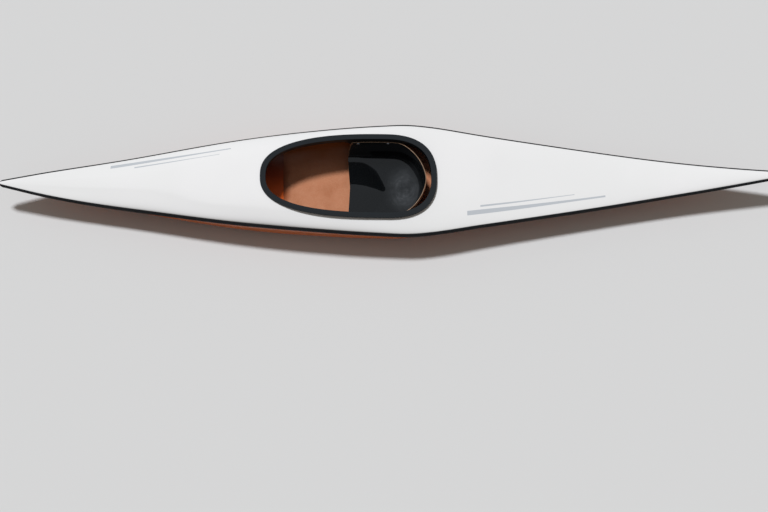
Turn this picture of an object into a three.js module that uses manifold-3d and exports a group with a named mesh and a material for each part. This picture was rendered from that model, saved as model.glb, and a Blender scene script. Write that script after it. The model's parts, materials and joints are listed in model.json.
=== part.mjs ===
// A kids' racing kayak: two laminated shells joined by a rubbing band, a cockpit rim with a bucket seat
// bolted into it, buoyancy blocks in both ends and a footrest that slides on two floor rails.
// Millimetres. X runs from the bow to the stern, Y to starboard and Z up. The origin is on the floor, under
// the middle of the length.
import * as THREE from 'three';
import { mergeVertices } from 'three/addons/utils/BufferGeometryUtils.js';
import Module from 'manifold-3d';

const wasm = await Module();
wasm.setup();

// Both shells
const overallLength = 3600;
const beam = 542; // of the shells, without the rubbing band
const depth = 227; // keel to the top of the cockpit rim
const skin = 3;
const stemBreadth = 10;
const stemKeelBreadth = 4;
const stemWall = 14; // solid laminate inside each stem
const liningShare = 0.9; // a lining takes at most this share of the half breadth
const keelFlatWidth = 36;
const shoulderRise = 14; // upright edge of the deck above the seam
const fit = 0.3; // gap between pieces that touch
const bondLine = 1.8; // bed of adhesive under a bonded flange
const overrun = 60; // how far a cutting tool reaches past its work

// Rubbing band
const bandHeight = 29;
const bandEndHeight = 17;
const bandThickness = 8.5;
const bandEdge = 2.4;
const bandTaperShare = 0.5; // the band narrows where the boat is less than this share of its beam

// Joint tape inside the seam
const tapeHeight = 26;
const tapeThickness = 1.5;
const stepsToTape = 5;
const tapeSteps = 26;

// Cockpit rim
const rimWidestAt = -43;
const rimFore = 561;
const rimAft = 240;
const rimHalfWidth = 209;
const rimPower = 2.55;
const rimDrop = 28; // fall of the rim from front to back
const lipWidth = 26;
const lipThickness = 4;
const lipEdge = 8; // the lip's edge turns down this far where the deck leaves room
const lipRoom = 3.5; // least gap between that edge and the deck
const lipRound = 1.4;
const rimWall = 3;
const rimFlange = 15;
const rimSkirt = 8;
const hangerDepth = 78; // the rim's wall reaches this far down where the seat hangs
const hangerEndRamp = 34;

// Seat
const seatWall = 4;
const seatFront = -203;
const seatCentre = 16;
const seatRear = 150;
const seatClearance = 1.3;
const wingDrop = 26; // top edge of the side walls below the rim
const wingSweep = 18; // the front edge runs back this far towards the top of the side walls
const ridgeSweep = 12;
const backHeight = 176;
const backRampShare = 0.45; // of the turn from the side to the back, in which the top edge drops
const panFrontHeight = 50;
const panHeight = 30;
const ridgeHeight = 37; // the pan falls from this ridge to a channel for each thigh
const ridgeHalfWidth = 150;
const ridgeCrest = 9; // rounding of the ridge
const ridgeEnd = -14;
const ridgeFade = 46;
const ridgeSlantShare = 0.8; // of the distance from the middle: how far ahead of ridgeEnd a channel ends
const sidePower = 4.6;
const backPower = 2.3;
const seatPlanPower = 1.7;

// Seat fixings
const boltStations = { front: -160, rear: -23 };
const boltRoom = 1; // from the land round a bolt up to the rim's flange
const boltRadius = 3;
const boltHeadRadius = 8;
const boltHeadHeight = 4;
const landDepth = 0.6; // flat land under a bolt head or a washer
const landRadius = 10.5;
const boltGrip = 21;
const washerRadius = 9;
const washerThickness = 1.6;
const nutAcrossFlats = 10;
const nutThickness = 5;

// Laminate patch on the cockpit floor
const stepsToPatch = 13;
const patchSteps = 7;
const patchColumns = 5;
const patchThickness = 1.5;

// Buoyancy blocks, whose ends are shares of the half length
const buoyancyGap = 2;
const bowBlockShares = [-0.892, -0.669];
const sternBlockShares = [0.535, 0.87];

// Footrest rails
const railCentre = -770;
const railLength = 260;
const railSpread = 130;
const railWidth = 24;
const railHeight = 12;
const railWall = 2;
const railSlot = 8;
const bedHeight = 8; // least thickness of the bed under a rail
const screwInset = 14;
const screwRadius = 2;
const screwHeadRadius = 4;
const screwHeadHeight = 2;
const screwLength = 9;

// Footrest
const boardWidth = 214;
const boardHeadroom = 26; // from the top of the board up to the deck
const boardThickness = 9;
const boardCorner = 26;
const boardLean = THREE.MathUtils.degToRad(20);
const boardLift = 5; // lower edge of the board above the bracket's foot
const bracketThickness = 3;
const footLength = 52;
const uprightShare = 0.72; // of the board's height
const clampAt = 30; // clamp bolt ahead of the heel of the bracket
const clampRadius = 3;
const clampHeadSize = 14;
const clampHeadHeight = 3.5;
const clampLength = 34;
const rivetRadius = 2.5;
const rivetHeadRadius = 6;
const rivetSinkDepth = 3; // countersink in the face of the board
const rivetTailRadius = 5.5;
const rivetTailHeight = 2.6;
const rivetShares = { lower: 0.2, upper: 0.56 }; // of the board's height
const wingHubRadius = 6.5;
const wingHubHeight = 8;
const wingSpan = 34;
const wingRise = 15;
const wingThickness = 2.6;

// Facets
const stationCount = 36;
const sectionSteps = 7;
const rimSteps = 52;
const troughSteps = 5;
const backSteps = 14;
const seatColumns = 9;
const roundSides = 10;
const cornerSteps = 4;

// Lines of the boat: a share of the half length, and the share of the half beam or of the depth there
const planShares = [
  [-1, 0], [-0.87, 0.2], [-0.63, 0.484], [-0.39, 0.748], [-0.145, 0.928], [-0.024, 0.985],
  [0.035, 1], [0.097, 0.962], [0.218, 0.822], [0.46, 0.555], [0.7, 0.292], [0.88, 0.113], [1, 0],
];
const keelShares = [
  [-1, 0.696], [-0.88, 0.555], [-0.76, 0.374], [-0.64, 0.238], [-0.525, 0.136], [-0.407, 0.055],
  [-0.31, 0.012], [-0.25, 0], [-0.2, 0], [-0.06, 0], [0, 0.004], [0.068, 0.035], [0.187, 0.125],
  [0.305, 0.216], [0.543, 0.374], [0.72, 0.505], [0.9, 0.66], [1, 0.762],
];
const seamShares = [
  [-1, 0.73], [-0.86, 0.632], [-0.72, 0.587], [-0.45, 0.656], [-0.24, 0.704], [-0.05, 0.702],
  [0.1, 0.668], [0.32, 0.597], [0.55, 0.56], [0.75, 0.602], [0.9, 0.7], [1, 0.8],
];
const crownShares = [
  [-1, 0.768], [-0.88, 0.729], [-0.8, 0.722], [-0.7, 0.768], [-0.585, 0.837], [-0.466, 0.897],
  [-0.37, 0.957], [-0.33, 0.972], [-0.24, 0.962], [-0.12, 0.938], [-0.024, 0.902], [0.05, 0.852],
  [0.111, 0.805], [0.187, 0.768], [0.305, 0.705], [0.424, 0.677], [0.543, 0.661], [0.661, 0.668],
  [0.78, 0.703], [0.896, 0.765], [1, 0.838],
];
// Powers of the cross sections along the same half length: the higher, the squarer
const hullPowers = [[-1, 1.5], [-0.7, 2.6], [-0.4, 3.7], [-0.1, 3.2], [0.1, 2.3], [0.5, 1.9], [1, 1.5]];
const deckPowers = [[-1, 2], [-0.45, 2.3], [-0.25, 3.2], [0.05, 3.2], [0.25, 2.6], [1, 2]];
const shoulderPower = 0.8;
// Knuckle of the deck, where its top turns down into its flank: share of the half breadth, change of slope
const knuckleShares = [
  [-1, 0.2], [-0.88, 0.24], [-0.7, 0.29], [-0.6, 0.34], [-0.55, 0.47], [-0.5, 0.62],
  [-0.36, 0.69], [0, 0.74], [1, 0.74],
];
const knuckleSlopeShares = [
  [-1, 0], [-0.9, 0.1], [-0.6, 0.14], [-0.35, 0.14], [-0.15, 0.05], [0, 0], [0.5, 0], [1, 0],
];
// Share of a right angle that the hull's side has turned through where it meets the seam
const hullTurnShares = [[-1, 0.8], [-0.8, 1], [0, 1], [0.16, 0.84], [1, 0.8]];

const shellHalf = overallLength / 2 - bandThickness - fit;

const facets = (count) => [...Array(count + 1).keys()];

function faired(pairs) {
  const curve = new THREE.CubicInterpolant(pairs.map((p) => p[0]), pairs.map((p) => p[1]), 1);
  return (along) => curve.evaluate(along)[0];
}

const planAt = faired(planShares);
const keelAt = faired(keelShares);
const seamAt = faired(seamShares);
const crownAt = faired(crownShares);
const hullPowerAt = faired(hullPowers);
const deckPowerAt = faired(deckPowers);
const hullTurnAt = faired(hullTurnShares);
const knuckleAt = faired(knuckleShares);
const knuckleSlopeAt = faired(knuckleSlopeShares);

// Breadths and heights of the shells at one place along the length
function linesAt(x) {
  const along = THREE.MathUtils.clamp(x / shellHalf, -1, 1);
  const share = Math.max(planAt(along), 0);
  const seam = depth * seamAt(along);
  const bandShare = Math.min(share / bandTaperShare, 1);
  return {
    half: stemBreadth / 2 + (beam - stemBreadth) / 2 * share,
    keelHalf: THREE.MathUtils.lerp(stemKeelBreadth, keelFlatWidth, share) / 2,
    keel: depth * Math.max(keelAt(along), 0),
    seam,
    shoulder: seam + shoulderRise * THREE.MathUtils.lerp(bandEndHeight / bandHeight, 1, bandShare),
    crown: depth * crownAt(along),
    band: THREE.MathUtils.lerp(bandEndHeight, bandHeight, bandShare),
    hullPower: hullPowerAt(along),
    deckPower: deckPowerAt(along),
    turn: Math.min(hullTurnAt(along), 1) * Math.PI / 2,
    knuckle: knuckleAt(along),
    knuckleSlope: Math.max(knuckleSlopeAt(along), 0),
  };
}

// Half a hull section from the keel to the seam, as [y, z] pairs, set in from the outside by inset
function hullHalfSection(x, inset) {
  const at = linesAt(x);
  const reach = at.half - inset - at.keelHalf;
  const low = at.keel + inset;
  const out = (angle) => Math.sin(angle) ** (2 / at.hullPower);
  const up = (angle) => 1 - Math.max(Math.cos(angle), 0) ** (2 / at.hullPower);
  return facets(sectionSteps).map((k) => {
    const angle = at.turn * k / sectionSteps;
    return [at.keelHalf + reach * out(angle) / out(at.turn), low + (at.seam - low) * up(angle) / up(at.turn)];
  });
}

function deckHeight(x, y, inset) {
  const at = linesAt(x);
  const half = at.half - inset;
  const t = Math.min(Math.abs(y) / half, 1);
  const beyond = Math.max(t - at.knuckle, 0) * half;
  const fall = at.knuckleSlope * beyond * (1 - t) / (1 - at.knuckle);
  return at.shoulder + (at.crown - inset - at.shoulder) * (1 - t ** at.deckPower) ** shoulderPower - fall;
}

// Half a deck section from the crown to the seam
function deckHalfSection(x, inset, seamGap) {
  const at = linesAt(x);
  const half = at.half - inset;
  const across = facets(sectionSteps).map((k) => half * Math.sin(Math.PI / 2 * k / sectionSteps));
  return [...across.map((y) => [y, deckHeight(x, y, inset)]), [half, at.seam + seamGap]];
}

// A row of points from port to starboard, made of half a section and its mirror image
function wholeRow(x, halfSection) {
  const port = halfSection.map(([y, z]) => new THREE.Vector3(x, -y, z)).reverse();
  const starboard = halfSection.map(([y, z]) => new THREE.Vector3(x, y, z));
  return [...port, ...(halfSection[0][0] === 0 ? starboard.slice(1) : starboard)];
}

const stationX = (k, half = shellHalf) => half * (2 * k / stationCount - 1);
const stations = facets(stationCount);

// Triangles of a solid, gathered quad by quad and closed into a geometry with its faces pointing out
class Skin {
  constructor() {
    this.corners = [];
  }

  triangle(a, b, c) {
    const small = 1e-6;
    const apart = a.distanceTo(b) > small && b.distanceTo(c) > small && c.distanceTo(a) > small;
    if (apart) this.corners.push(a, b, c);
  }

  quad(a, b, c, d) {
    this.triangle(a, b, c);
    this.triangle(a, c, d);
  }

  sheet(rows, turned) {
    for (let i = 1; i < rows.length; i++) {
      for (let j = 1; j < rows[i].length; j++) {
        const [a, b, c, d] = [rows[i - 1][j - 1], rows[i][j - 1], rows[i][j], rows[i - 1][j]];
        this.quad(...(turned ? [a, d, c, b] : [a, b, c, d]));
      }
    }
  }

  close() {
    let volume = 0;
    for (let i = 0; i < this.corners.length; i += 3) {
      const [a, b, c] = this.corners.slice(i, i + 3);
      volume += a.dot(new THREE.Vector3().crossVectors(b, c));
    }
    const corners = volume < 0 ? [...this.corners].reverse() : this.corners;
    return new THREE.BufferGeometry().setFromPoints(corners);
  }
}

// An open boat shell between an outer and an inner sheet, closed along the seam and solid at both ends
function boatShell(outer, inner) {
  const made = new Skin();
  const last = outer[0].length - 1;
  made.sheet(outer, false);
  made.sheet(inner, true);
  for (let i = 1; i < outer.length; i++) {
    made.quad(outer[i - 1][0], inner[i - 1][0], inner[i][0], outer[i][0]);
    made.quad(outer[i][last], inner[i][last], inner[i - 1][last], outer[i - 1][last]);
  }
  for (const [rows, row, turned] of [[outer, 0, false], [outer, outer.length - 1, true],
    [inner, 0, true], [inner, inner.length - 1, false]]) {
    const end = rows[row];
    for (let j = 0; j < last - j; j++) {
      const ring = [end[j], end[j + 1], end[last - j - 1], end[last - j]];
      made.quad(...(turned ? ring.reverse() : ring));
    }
  }
  const stern = outer.length - 1;
  made.quad(outer[0][0], outer[0][last], inner[0][last], inner[0][0]);
  made.quad(inner[stern][0], inner[stern][last], outer[stern][last], outer[stern][0]);
  return made.close();
}

// A solid swept through closed sections. looped joins the last section to the first, else both are capped.
function swept(sections, looped) {
  const made = new Skin();
  const rings = sections.map((s) => [...s, s[0]]);
  made.sheet(looped ? [...rings, rings[0]] : rings, false);
  if (!looped) {
    for (const [section, turned] of [[sections[0], false], [sections[sections.length - 1], true]]) {
      const centre = section.reduce((sum, p) => sum.add(p), new THREE.Vector3()).divideScalar(section.length);
      section.forEach((p, j) => {
        const next = section[(j + 1) % section.length];
        made.triangle(...(turned ? [centre, next, p] : [centre, p, next]));
      });
    }
  }
  return made.close();
}

// A plate between two sheets of the same layout, closed along its four edges
function plate(low, high) {
  const made = new Skin();
  const last = low[0].length - 1;
  const end = low.length - 1;
  made.sheet(low, false);
  made.sheet(high, true);
  for (let i = 1; i <= end; i++) {
    made.quad(low[i - 1][0], high[i - 1][0], high[i][0], low[i][0]);
    made.quad(low[i][last], high[i][last], high[i - 1][last], low[i - 1][last]);
  }
  for (let j = 1; j <= last; j++) {
    made.quad(low[0][j], high[0][j], high[0][j - 1], low[0][j - 1]);
    made.quad(low[end][j - 1], high[end][j - 1], high[end][j], low[end][j]);
  }
  return made.close();
}

function solid(geometry) {
  const bare = geometry.clone();
  bare.deleteAttribute('normal');
  bare.deleteAttribute('uv');
  const merged = mergeVertices(bare, 1e-4);
  return new wasm.Manifold(new wasm.Mesh({
    numProp: 3,
    vertProperties: new Float32Array(merged.attributes.position.array),
    triVerts: new Uint32Array(merged.index.array),
  }));
}

function geometryOf(made) {
  const mesh = made.getMesh();
  return new THREE.BufferGeometry()
    .setAttribute('position', new THREE.BufferAttribute(new Float32Array(mesh.vertProperties), 3))
    .setIndex(new THREE.BufferAttribute(new Uint32Array(mesh.triVerts), 1));
}

function cut(geometry, tools) {
  return geometryOf(tools.reduce((rest, tool) => rest.subtract(solid(tool)), solid(geometry)));
}

const common = (a, b) => geometryOf(solid(a).intersect(solid(b)));
const joined = (list) => geometryOf(list.slice(1).reduce((sum, g) => sum.add(solid(g)), solid(list[0])));

function rod(radius, length, sides = roundSides) {
  return new THREE.CylinderGeometry(radius, radius, length, sides);
}

// A turned piece from [radius, height] pairs, about Y
function turned(profile) {
  return new THREE.LatheGeometry(profile.map(([r, h]) => new THREE.Vector2(r, h)), roundSides);
}

const finishes = {
  hullGelcoat: { color: 0xf06a0c, roughness: 0.18, metalness: 0 },
  deckGelcoat: { color: 0xededee, roughness: 0.15, metalness: 0 },
  blackGelcoat: { color: 0x1b1d20, roughness: 0.25, metalness: 0 },
  blackRubber: { color: 0x17191b, roughness: 0.35, metalness: 0 },
  laminate: { color: 0xc98a62, roughness: 0.55, metalness: 0 },
  foam: { color: 0xe8e6dc, roughness: 0.9, metalness: 0 },
  aluminium: { color: 0xb4b7ba, roughness: 0.35, metalness: 1 },
  steel: { color: 0xc4c6c8, roughness: 0.25, metalness: 1 },
  blackPlastic: { color: 0x202224, roughness: 0.5, metalness: 0 },
};
const materials = Object.fromEntries(
  Object.entries(finishes).map(
    ([name, finish]) => [name, new THREE.MeshStandardMaterial({ name, ...finish })],
  ),
);

const kayak = new THREE.Group();

function piece(name, geometry, material, parent = kayak) {
  const mesh = new THREE.Mesh(geometry, materials[material]);
  mesh.name = name;
  parent.add(mesh);
  return mesh;
}

// Cockpit rim in plan: the curve of its wall's inner face, moved outward
function rimPoint(angle, outward) {
  const c = Math.cos(angle);
  const s = Math.sin(angle);
  const reach = (c > 0 ? rimAft : rimFore) - lipWidth + outward;
  const x = rimWidestAt + Math.sign(c) * reach * Math.abs(c) ** (2 / rimPower);
  const y = Math.sign(s) * (rimHalfWidth - lipWidth + outward) * Math.abs(s) ** (2 / rimPower);
  return [x, y];
}

function rimHalfAt(x) {
  const reach = (x > rimWidestAt ? rimAft : rimFore) - lipWidth;
  const t = Math.min(Math.abs(x - rimWidestAt) / reach, 1);
  return (rimHalfWidth - lipWidth) * (1 - t ** rimPower) ** (1 / rimPower);
}

const rimFront = rimWidestAt - rimFore;
const lipTop = (x) => depth - rimDrop * ((x - rimFront) / (rimFore + rimAft)) ** 2;
const rimAngles = [...Array(rimSteps).keys()].map((k) => 2 * Math.PI * k / rimSteps);

function hangerShare(x) {
  const ramp = (from, to) => THREE.MathUtils.smoothstep(x, Math.min(from, to), Math.max(from, to));
  return ramp(seatFront, seatFront + hangerEndRamp) * (1 - ramp(seatCentre, seatCentre + hangerEndRamp));
}

function rimSection(angle) {
  const at = (outward, height) => {
    const [x, y] = rimPoint(angle, outward);
    return new THREE.Vector3(x, y, height(x, y));
  };
  const underDeck = (x, y) => deckHeight(x, y, skin) - bondLine;
  const underLip = (x) => lipTop(x) - lipThickness;
  const aboveDeck = (x, y) => deckHeight(x, y, 0) + lipRoom;
  const edgeFoot = (x, y) => Math.min(Math.max(lipTop(x) - lipEdge, aboveDeck(x, y)), underLip(x));
  const skirtFoot = (x, y) => THREE.MathUtils.lerp(
    underDeck(x, y) - rimSkirt,
    lipTop(x) - hangerDepth,
    hangerShare(x),
  );
  return [
    at(0, (x) => lipTop(x) - lipRound),
    at(lipRound, (x) => lipTop(x)),
    at(lipWidth - lipRound, (x) => lipTop(x)),
    at(lipWidth, (x) => lipTop(x) - lipRound),
    at(lipWidth, edgeFoot),
    at(lipWidth - lipThickness, edgeFoot),
    at(lipWidth - lipThickness * 2, underLip),
    at(rimWall, underLip),
    at(rimWall, underDeck),
    at(rimWall + rimFlange, underDeck),
    at(rimWall + rimFlange, (x, y) => underDeck(x, y) - rimWall),
    at(rimWall, (x, y) => underDeck(x, y) - rimWall),
    at(rimWall, skirtFoot),
    at(0, skirtFoot),
  ];
}

function cockpitRim() {
  return swept(rimAngles.map(rimSection), true);
}

// An upright plug of the cockpit opening, which cuts the deck
function cockpitPlug() {
  const outline = rimAngles.map((angle) => new THREE.Vector2(...rimPoint(angle, rimWall + fit)));
  return new THREE.ExtrudeGeometry(new THREE.Shape(outline), { depth: depth + overrun, bevelEnabled: false });
}

// The two shells
const innerHalf = shellHalf - stemWall;

function hullShell() {
  return boatShell(
    stations.map((k) => wholeRow(stationX(k), hullHalfSection(stationX(k), 0))),
    stations.map((k) => wholeRow(stationX(k, innerHalf), hullHalfSection(stationX(k, innerHalf), skin))),
  );
}

function deckShell() {
  const row = (x, inset) => wholeRow(x, deckHalfSection(x, inset, fit));
  const rows = (half, inset) => stations.map((k) => row(stationX(k, half), inset));
  return boatShell(rows(shellHalf, 0), rows(innerHalf, skin));
}

// The space inside the two shells, less a gap all round
function insideSpace(gap) {
  return swept(stations.map((k) => {
    const x = stationX(k, innerHalf);
    const inset = Math.min(skin + gap, linesAt(x).half * liningShare);
    const floor = wholeRow(x, hullHalfSection(x, inset));
    const roof = wholeRow(x, deckHalfSection(x, inset, fit).slice(0, -1)).reverse();
    return [...floor, ...roof];
  }), false);
}

// Height of the hull's inner face
function floorHeight(x, y) {
  const section = hullHalfSection(x, skin);
  const k = Math.max(section.findIndex((p) => p[0] > y), 1);
  const [[y0, z0], [y1, z1]] = section.slice(k - 1, k + 1);
  return THREE.MathUtils.mapLinear(y, y0, y1, z0, z1);
}

// The band's plan line, from the middle of the bow round one side to the middle of the stern
function bandLine() {
  const sides = stations.map((k) => ({ x: stationX(k), y: linesAt(stationX(k)).half + fit }));
  const bow = { x: -shellHalf - fit, y: fit };
  const stern = { x: shellHalf + fit, y: fit };
  const line = [
    bow, { x: bow.x, y: sides[0].y }, ...sides.slice(1, -1), { x: stern.x, y: sides[stationCount].y }, stern,
  ];
  return line.map((p, k) => {
    const before = line[Math.max(k - 1, 0)];
    const after = line[Math.min(k + 1, line.length - 1)];
    const normal = new THREE.Vector2(-(after.y - before.y), after.x - before.x).normalize();
    const corner = k === 1 || k === line.length - 2;
    return { ...p, normal: normal.multiplyScalar(corner ? Math.SQRT2 : 1) };
  });
}

function rubbingBand(side) {
  return swept(bandLine().map(({ x, y, normal }) => {
    const at = linesAt(x);
    const half = at.band / 2;
    const point = (out, up) => (
      new THREE.Vector3(x + normal.x * out, side * (y + normal.y * out), at.seam + up)
    );
    return [
      point(0, -half), point(bandEdge, -half), point(bandThickness, -half / 2),
      point(bandThickness, half / 2), point(bandEdge, half), point(0, half),
    ];
  }), false);
}

// Tape over the inside of the seam: a lining of the shells, cut to the tape's width
function seamTape(side) {
  const lining = cut(insideSpace(fit), [insideSpace(fit + tapeThickness)]);
  const zone = swept(facets(tapeSteps).map((k) => {
    const x = stationX(stepsToTape + k, innerHalf);
    const { seam, shoulder } = linesAt(x);
    const [low, high] = [seam - tapeHeight / 2, Math.min(seam + tapeHeight / 2, shoulder - bondLine)];
    const corners = [[0, low], [beam, low], [beam, high], [0, high]];
    return corners.map(([y, z]) => new THREE.Vector3(x, side * y, z));
  }), false);
  return common(lining, zone);
}

// A laminate patch that stiffens the floor of the cockpit
function floorPatch() {
  const rows = (inset) => facets(patchSteps).map((k) => {
    const x = stationX(stepsToPatch + k, innerHalf);
    return wholeRow(x, hullHalfSection(x, inset).slice(0, patchColumns + 1));
  });
  return plate(rows(skin + fit), rows(skin + fit + patchThickness));
}

piece('hull', hullShell(), 'hullGelcoat');
piece('deck', cut(deckShell(), [cockpitPlug()]), 'deckGelcoat');
for (const [name, side] of [['port', -1], ['starboard', 1]]) {
  piece(`rubbing_band_${name}`, rubbingBand(side), 'blackRubber');
  piece(`seam_tape_${name}`, seamTape(side), 'laminate');
}

// Seat
const wingTop = (x) => lipTop(x) - wingDrop;
const seatHalfAt = (x) => rimHalfAt(x) - seatClearance - seatWall;

function panAt(x) {
  const share = THREE.MathUtils.smoothstep(x, seatFront, seatCentre);
  return THREE.MathUtils.lerp(panFrontHeight, panHeight, share);
}

function ridgeAt(x, y) {
  const end = ridgeEnd - Math.abs(y) * ridgeSlantShare;
  const along = 1 - THREE.MathUtils.smoothstep(x, end - ridgeFade, end);
  const across = Math.max(ridgeHalfWidth - Math.hypot(y, ridgeCrest), 0) / (ridgeHalfWidth - ridgeCrest);
  return ridgeHeight * along * across;
}

// One rib of the seat, from the middle line to the top edge. wall moves it out to the seat's outer face.
function seatRib(origin, direction, reach, top, power, wall) {
  const low = panAt(origin) - wall;
  return facets(seatColumns).map((k) => {
    const angle = Math.PI / 2 * k / seatColumns;
    const out = (reach + wall) * Math.sin(angle) ** (2 / power);
    const up = 1 - Math.max(Math.cos(angle), 0) ** (2 / power);
    const x = origin + direction.x * out;
    const y = direction.y * out;
    const ridge = ridgeAt(x, y) * (1 - up);
    const forward = 1 - THREE.MathUtils.smoothstep(x, seatFront, seatCentre);
    const sweep = forward * (wingSweep * up + ridgeSweep * ridge / ridgeHeight);
    return new THREE.Vector3(x + sweep, y, low + (top - low) * up + ridge);
  });
}

function seatSheet(wall) {
  const ribs = [];
  for (let k = 0; k <= troughSteps; k++) {
    const x = THREE.MathUtils.lerp(seatFront, seatCentre, k / troughSteps);
    ribs.push(seatRib(x, new THREE.Vector2(0, -1), seatHalfAt(x), wingTop(x), sidePower, wall));
  }
  const back = seatRear - seatCentre - seatWall;
  const side = seatHalfAt(seatCentre);
  for (let k = 1; k < backSteps; k++) {
    const angle = Math.PI * (k / backSteps - 0.5);
    const c = Math.cos(angle);
    const s = Math.sin(angle);
    const [alongBack, alongSide] = [Math.abs(c / back), Math.abs(s / side)];
    const reach = (alongBack ** seatPlanPower + alongSide ** seatPlanPower) ** (-1 / seatPlanPower);
    const drop = THREE.MathUtils.smoothstep(c, 0, backRampShare);
    const top = THREE.MathUtils.lerp(wingTop(seatCentre), backHeight, drop);
    const power = THREE.MathUtils.lerp(sidePower, backPower, c);
    ribs.push(seatRib(seatCentre, new THREE.Vector2(c, s), reach, top, power, wall));
  }
  for (let k = troughSteps; k >= 0; k--) {
    const x = THREE.MathUtils.lerp(seatFront, seatCentre, k / troughSteps);
    ribs.push(seatRib(x, new THREE.Vector2(0, 1), seatHalfAt(x), wingTop(x), sidePower, wall));
  }
  return ribs;
}

// Face of the seat's side wall at a given height
function seatWallAt(x, z) {
  const up = (z - panAt(x)) / (wingTop(x) - panAt(x));
  return seatHalfAt(x) * (1 - (1 - up) ** sidePower) ** (1 / sidePower);
}

// The four fixings of the seat: a domed bolt from inside, and a washer and a nut outside the rim's wall
const seatFixings = [];
for (const [sideName, side] of [['port', -1], ['starboard', 1]]) {
  for (const [place, x] of Object.entries(boltStations)) {
    const outside = rimHalfAt(x) + rimWall;
    const flangeFoot = deckHeight(x, outside + rimFlange, skin) - bondLine - rimWall;
    const z = flangeFoot - boltRoom - landRadius;
    seatFixings.push({ name: `${sideName}_${place}`, side, x, z, wall: seatWallAt(x, z), outside });
  }
}

function alongY(geometry, { x, z, side }, y) {
  return geometry.clone().rotateX(side > 0 ? 0 : Math.PI).translate(x, side * y, z);
}

const fixingHoles = seatFixings.map((at) => alongY(rod(boltRadius + fit, overrun), at, at.outside));
const innerLands = seatFixings.map(
  (at) => alongY(rod(landRadius, overrun), at, at.wall + landDepth - overrun / 2),
);
const outerLands = seatFixings.map(
  (at) => alongY(rod(landRadius, overrun), at, at.outside - landDepth + overrun / 2),
);

const seatBolt = turned([
  [0, -boltHeadHeight], [boltHeadRadius * 0.6, -boltHeadHeight * 0.8],
  [boltHeadRadius, -boltHeadHeight * 0.25], [boltHeadRadius, 0],
  [boltRadius, 0], [boltRadius, boltGrip], [0, boltGrip],
]);
const seatWasher = turned([
  [boltRadius + fit, 0], [washerRadius, 0], [washerRadius, washerThickness],
  [boltRadius + fit, washerThickness], [boltRadius + fit, 0],
]);

function hexNut() {
  const hexagon = new THREE.Shape();
  for (let k = 0; k < 6; k++) {
    const angle = Math.PI / 3 * k;
    const radius = nutAcrossFlats / 2 / Math.cos(Math.PI / 6);
    hexagon[k ? 'lineTo' : 'moveTo'](radius * Math.cos(angle), radius * Math.sin(angle));
  }
  hexagon.closePath();
  const bore = new THREE.Path().absarc(0, 0, boltRadius + fit, 0, Math.PI * 2);
  hexagon.holes.push(bore);
  const options = { depth: nutThickness, bevelEnabled: false, curveSegments: roundSides };
  return new THREE.ExtrudeGeometry(hexagon, options).rotateX(-Math.PI / 2);
}

piece('cockpit_rim', cut(cockpitRim(), [...fixingHoles, ...outerLands]), 'blackGelcoat');
piece('seat', cut(plate(seatSheet(0), seatSheet(seatWall)), [...fixingHoles, ...innerLands]), 'blackPlastic');
const nut = hexNut();
for (const at of seatFixings) {
  piece(`seat_bolt_${at.name}`, alongY(seatBolt, at, at.wall + landDepth - fit), 'steel');
  piece(`seat_washer_${at.name}`, alongY(seatWasher, at, at.outside - landDepth + fit), 'steel');
  piece(`seat_nut_${at.name}`, alongY(nut, at, at.outside - landDepth + fit * 2 + washerThickness), 'steel');
}

// Inside the shells
piece('floor_patch', floorPatch(), 'laminate');
for (const [name, [fromShare, toShare]] of [['bow', bowBlockShares], ['stern', sternBlockShares]]) {
  const slab = new THREE.BoxGeometry((toShare - fromShare) * innerHalf, beam, depth + overrun)
    .translate((fromShare + toShare) / 2 * innerHalf, 0, depth / 2);
  piece(`${name}_buoyancy_block`, common(insideSpace(buoyancyGap), slab), 'foam');
}

// Footrest: everything is laid out along its rails, which slope with the floor
const railOut = railSpread / 2 + railWidth / 2;
const railFloor = (x) => floorHeight(x, railOut) + bedHeight;
const railFrontZ = railFloor(railCentre - railLength / 2);
const railBackZ = railFloor(railCentre + railLength / 2);
const rails = new THREE.Group();
rails.position.set(railCentre, 0, (railFrontZ + railBackZ) / 2);
rails.rotation.y = -Math.atan2(railBackZ - railFrontZ, railLength);
rails.updateMatrix();
kayak.add(rails);

const screwPlaces = { front: -railLength / 2 + screwInset, rear: railLength / 2 - screwInset };

function railChannel() {
  const [w, h, t, s] = [railWidth / 2, railHeight, railWall, railSlot / 2];
  const outline = [[-w, 0], [w, 0], [w, h], [s, h], [s, h - t], [w - t, h - t], [w - t, t], [t - w, t],
    [t - w, h - t], [-s, h - t], [-s, h], [-w, h]];
  const channel = new THREE.ExtrudeGeometry(
    new THREE.Shape(outline.map(([a, b]) => new THREE.Vector2(a, b))),
    { depth: railLength, bevelEnabled: false },
  );
  channel.rotateX(Math.PI / 2).rotateZ(Math.PI / 2).translate(-railLength / 2, 0, 0);
  const hole = rod(screwRadius + fit, railWall * 4).rotateX(Math.PI / 2);
  return cut(channel, Object.values(screwPlaces).map((x) => hole.clone().translate(x, 0, 0)));
}

function railBed(y) {
  const block = new THREE.BoxGeometry(railLength, railWidth, overrun)
    .translate(0, y, -overrun / 2 - fit).applyMatrix4(rails.matrix);
  const hole = rod(screwRadius + fit, overrun * 2).rotateX(Math.PI / 2);
  const holes = Object.values(screwPlaces).map(
    (x) => hole.clone().translate(x, y, 0).applyMatrix4(rails.matrix),
  );
  return cut(common(insideSpace(fit), block), holes);
}

const screwSeat = railWall + fit;
const screwTop = screwSeat + screwHeadHeight;
const railScrew = turned([
  [0, screwTop - screwLength], [screwRadius, screwTop + screwRadius - screwLength],
  [screwRadius, screwSeat], [screwHeadRadius, screwSeat], [screwHeadRadius, screwSeat + screwHeadHeight / 2],
  [screwHeadRadius / 2, screwTop], [0, screwTop],
]).rotateX(Math.PI / 2);

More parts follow.
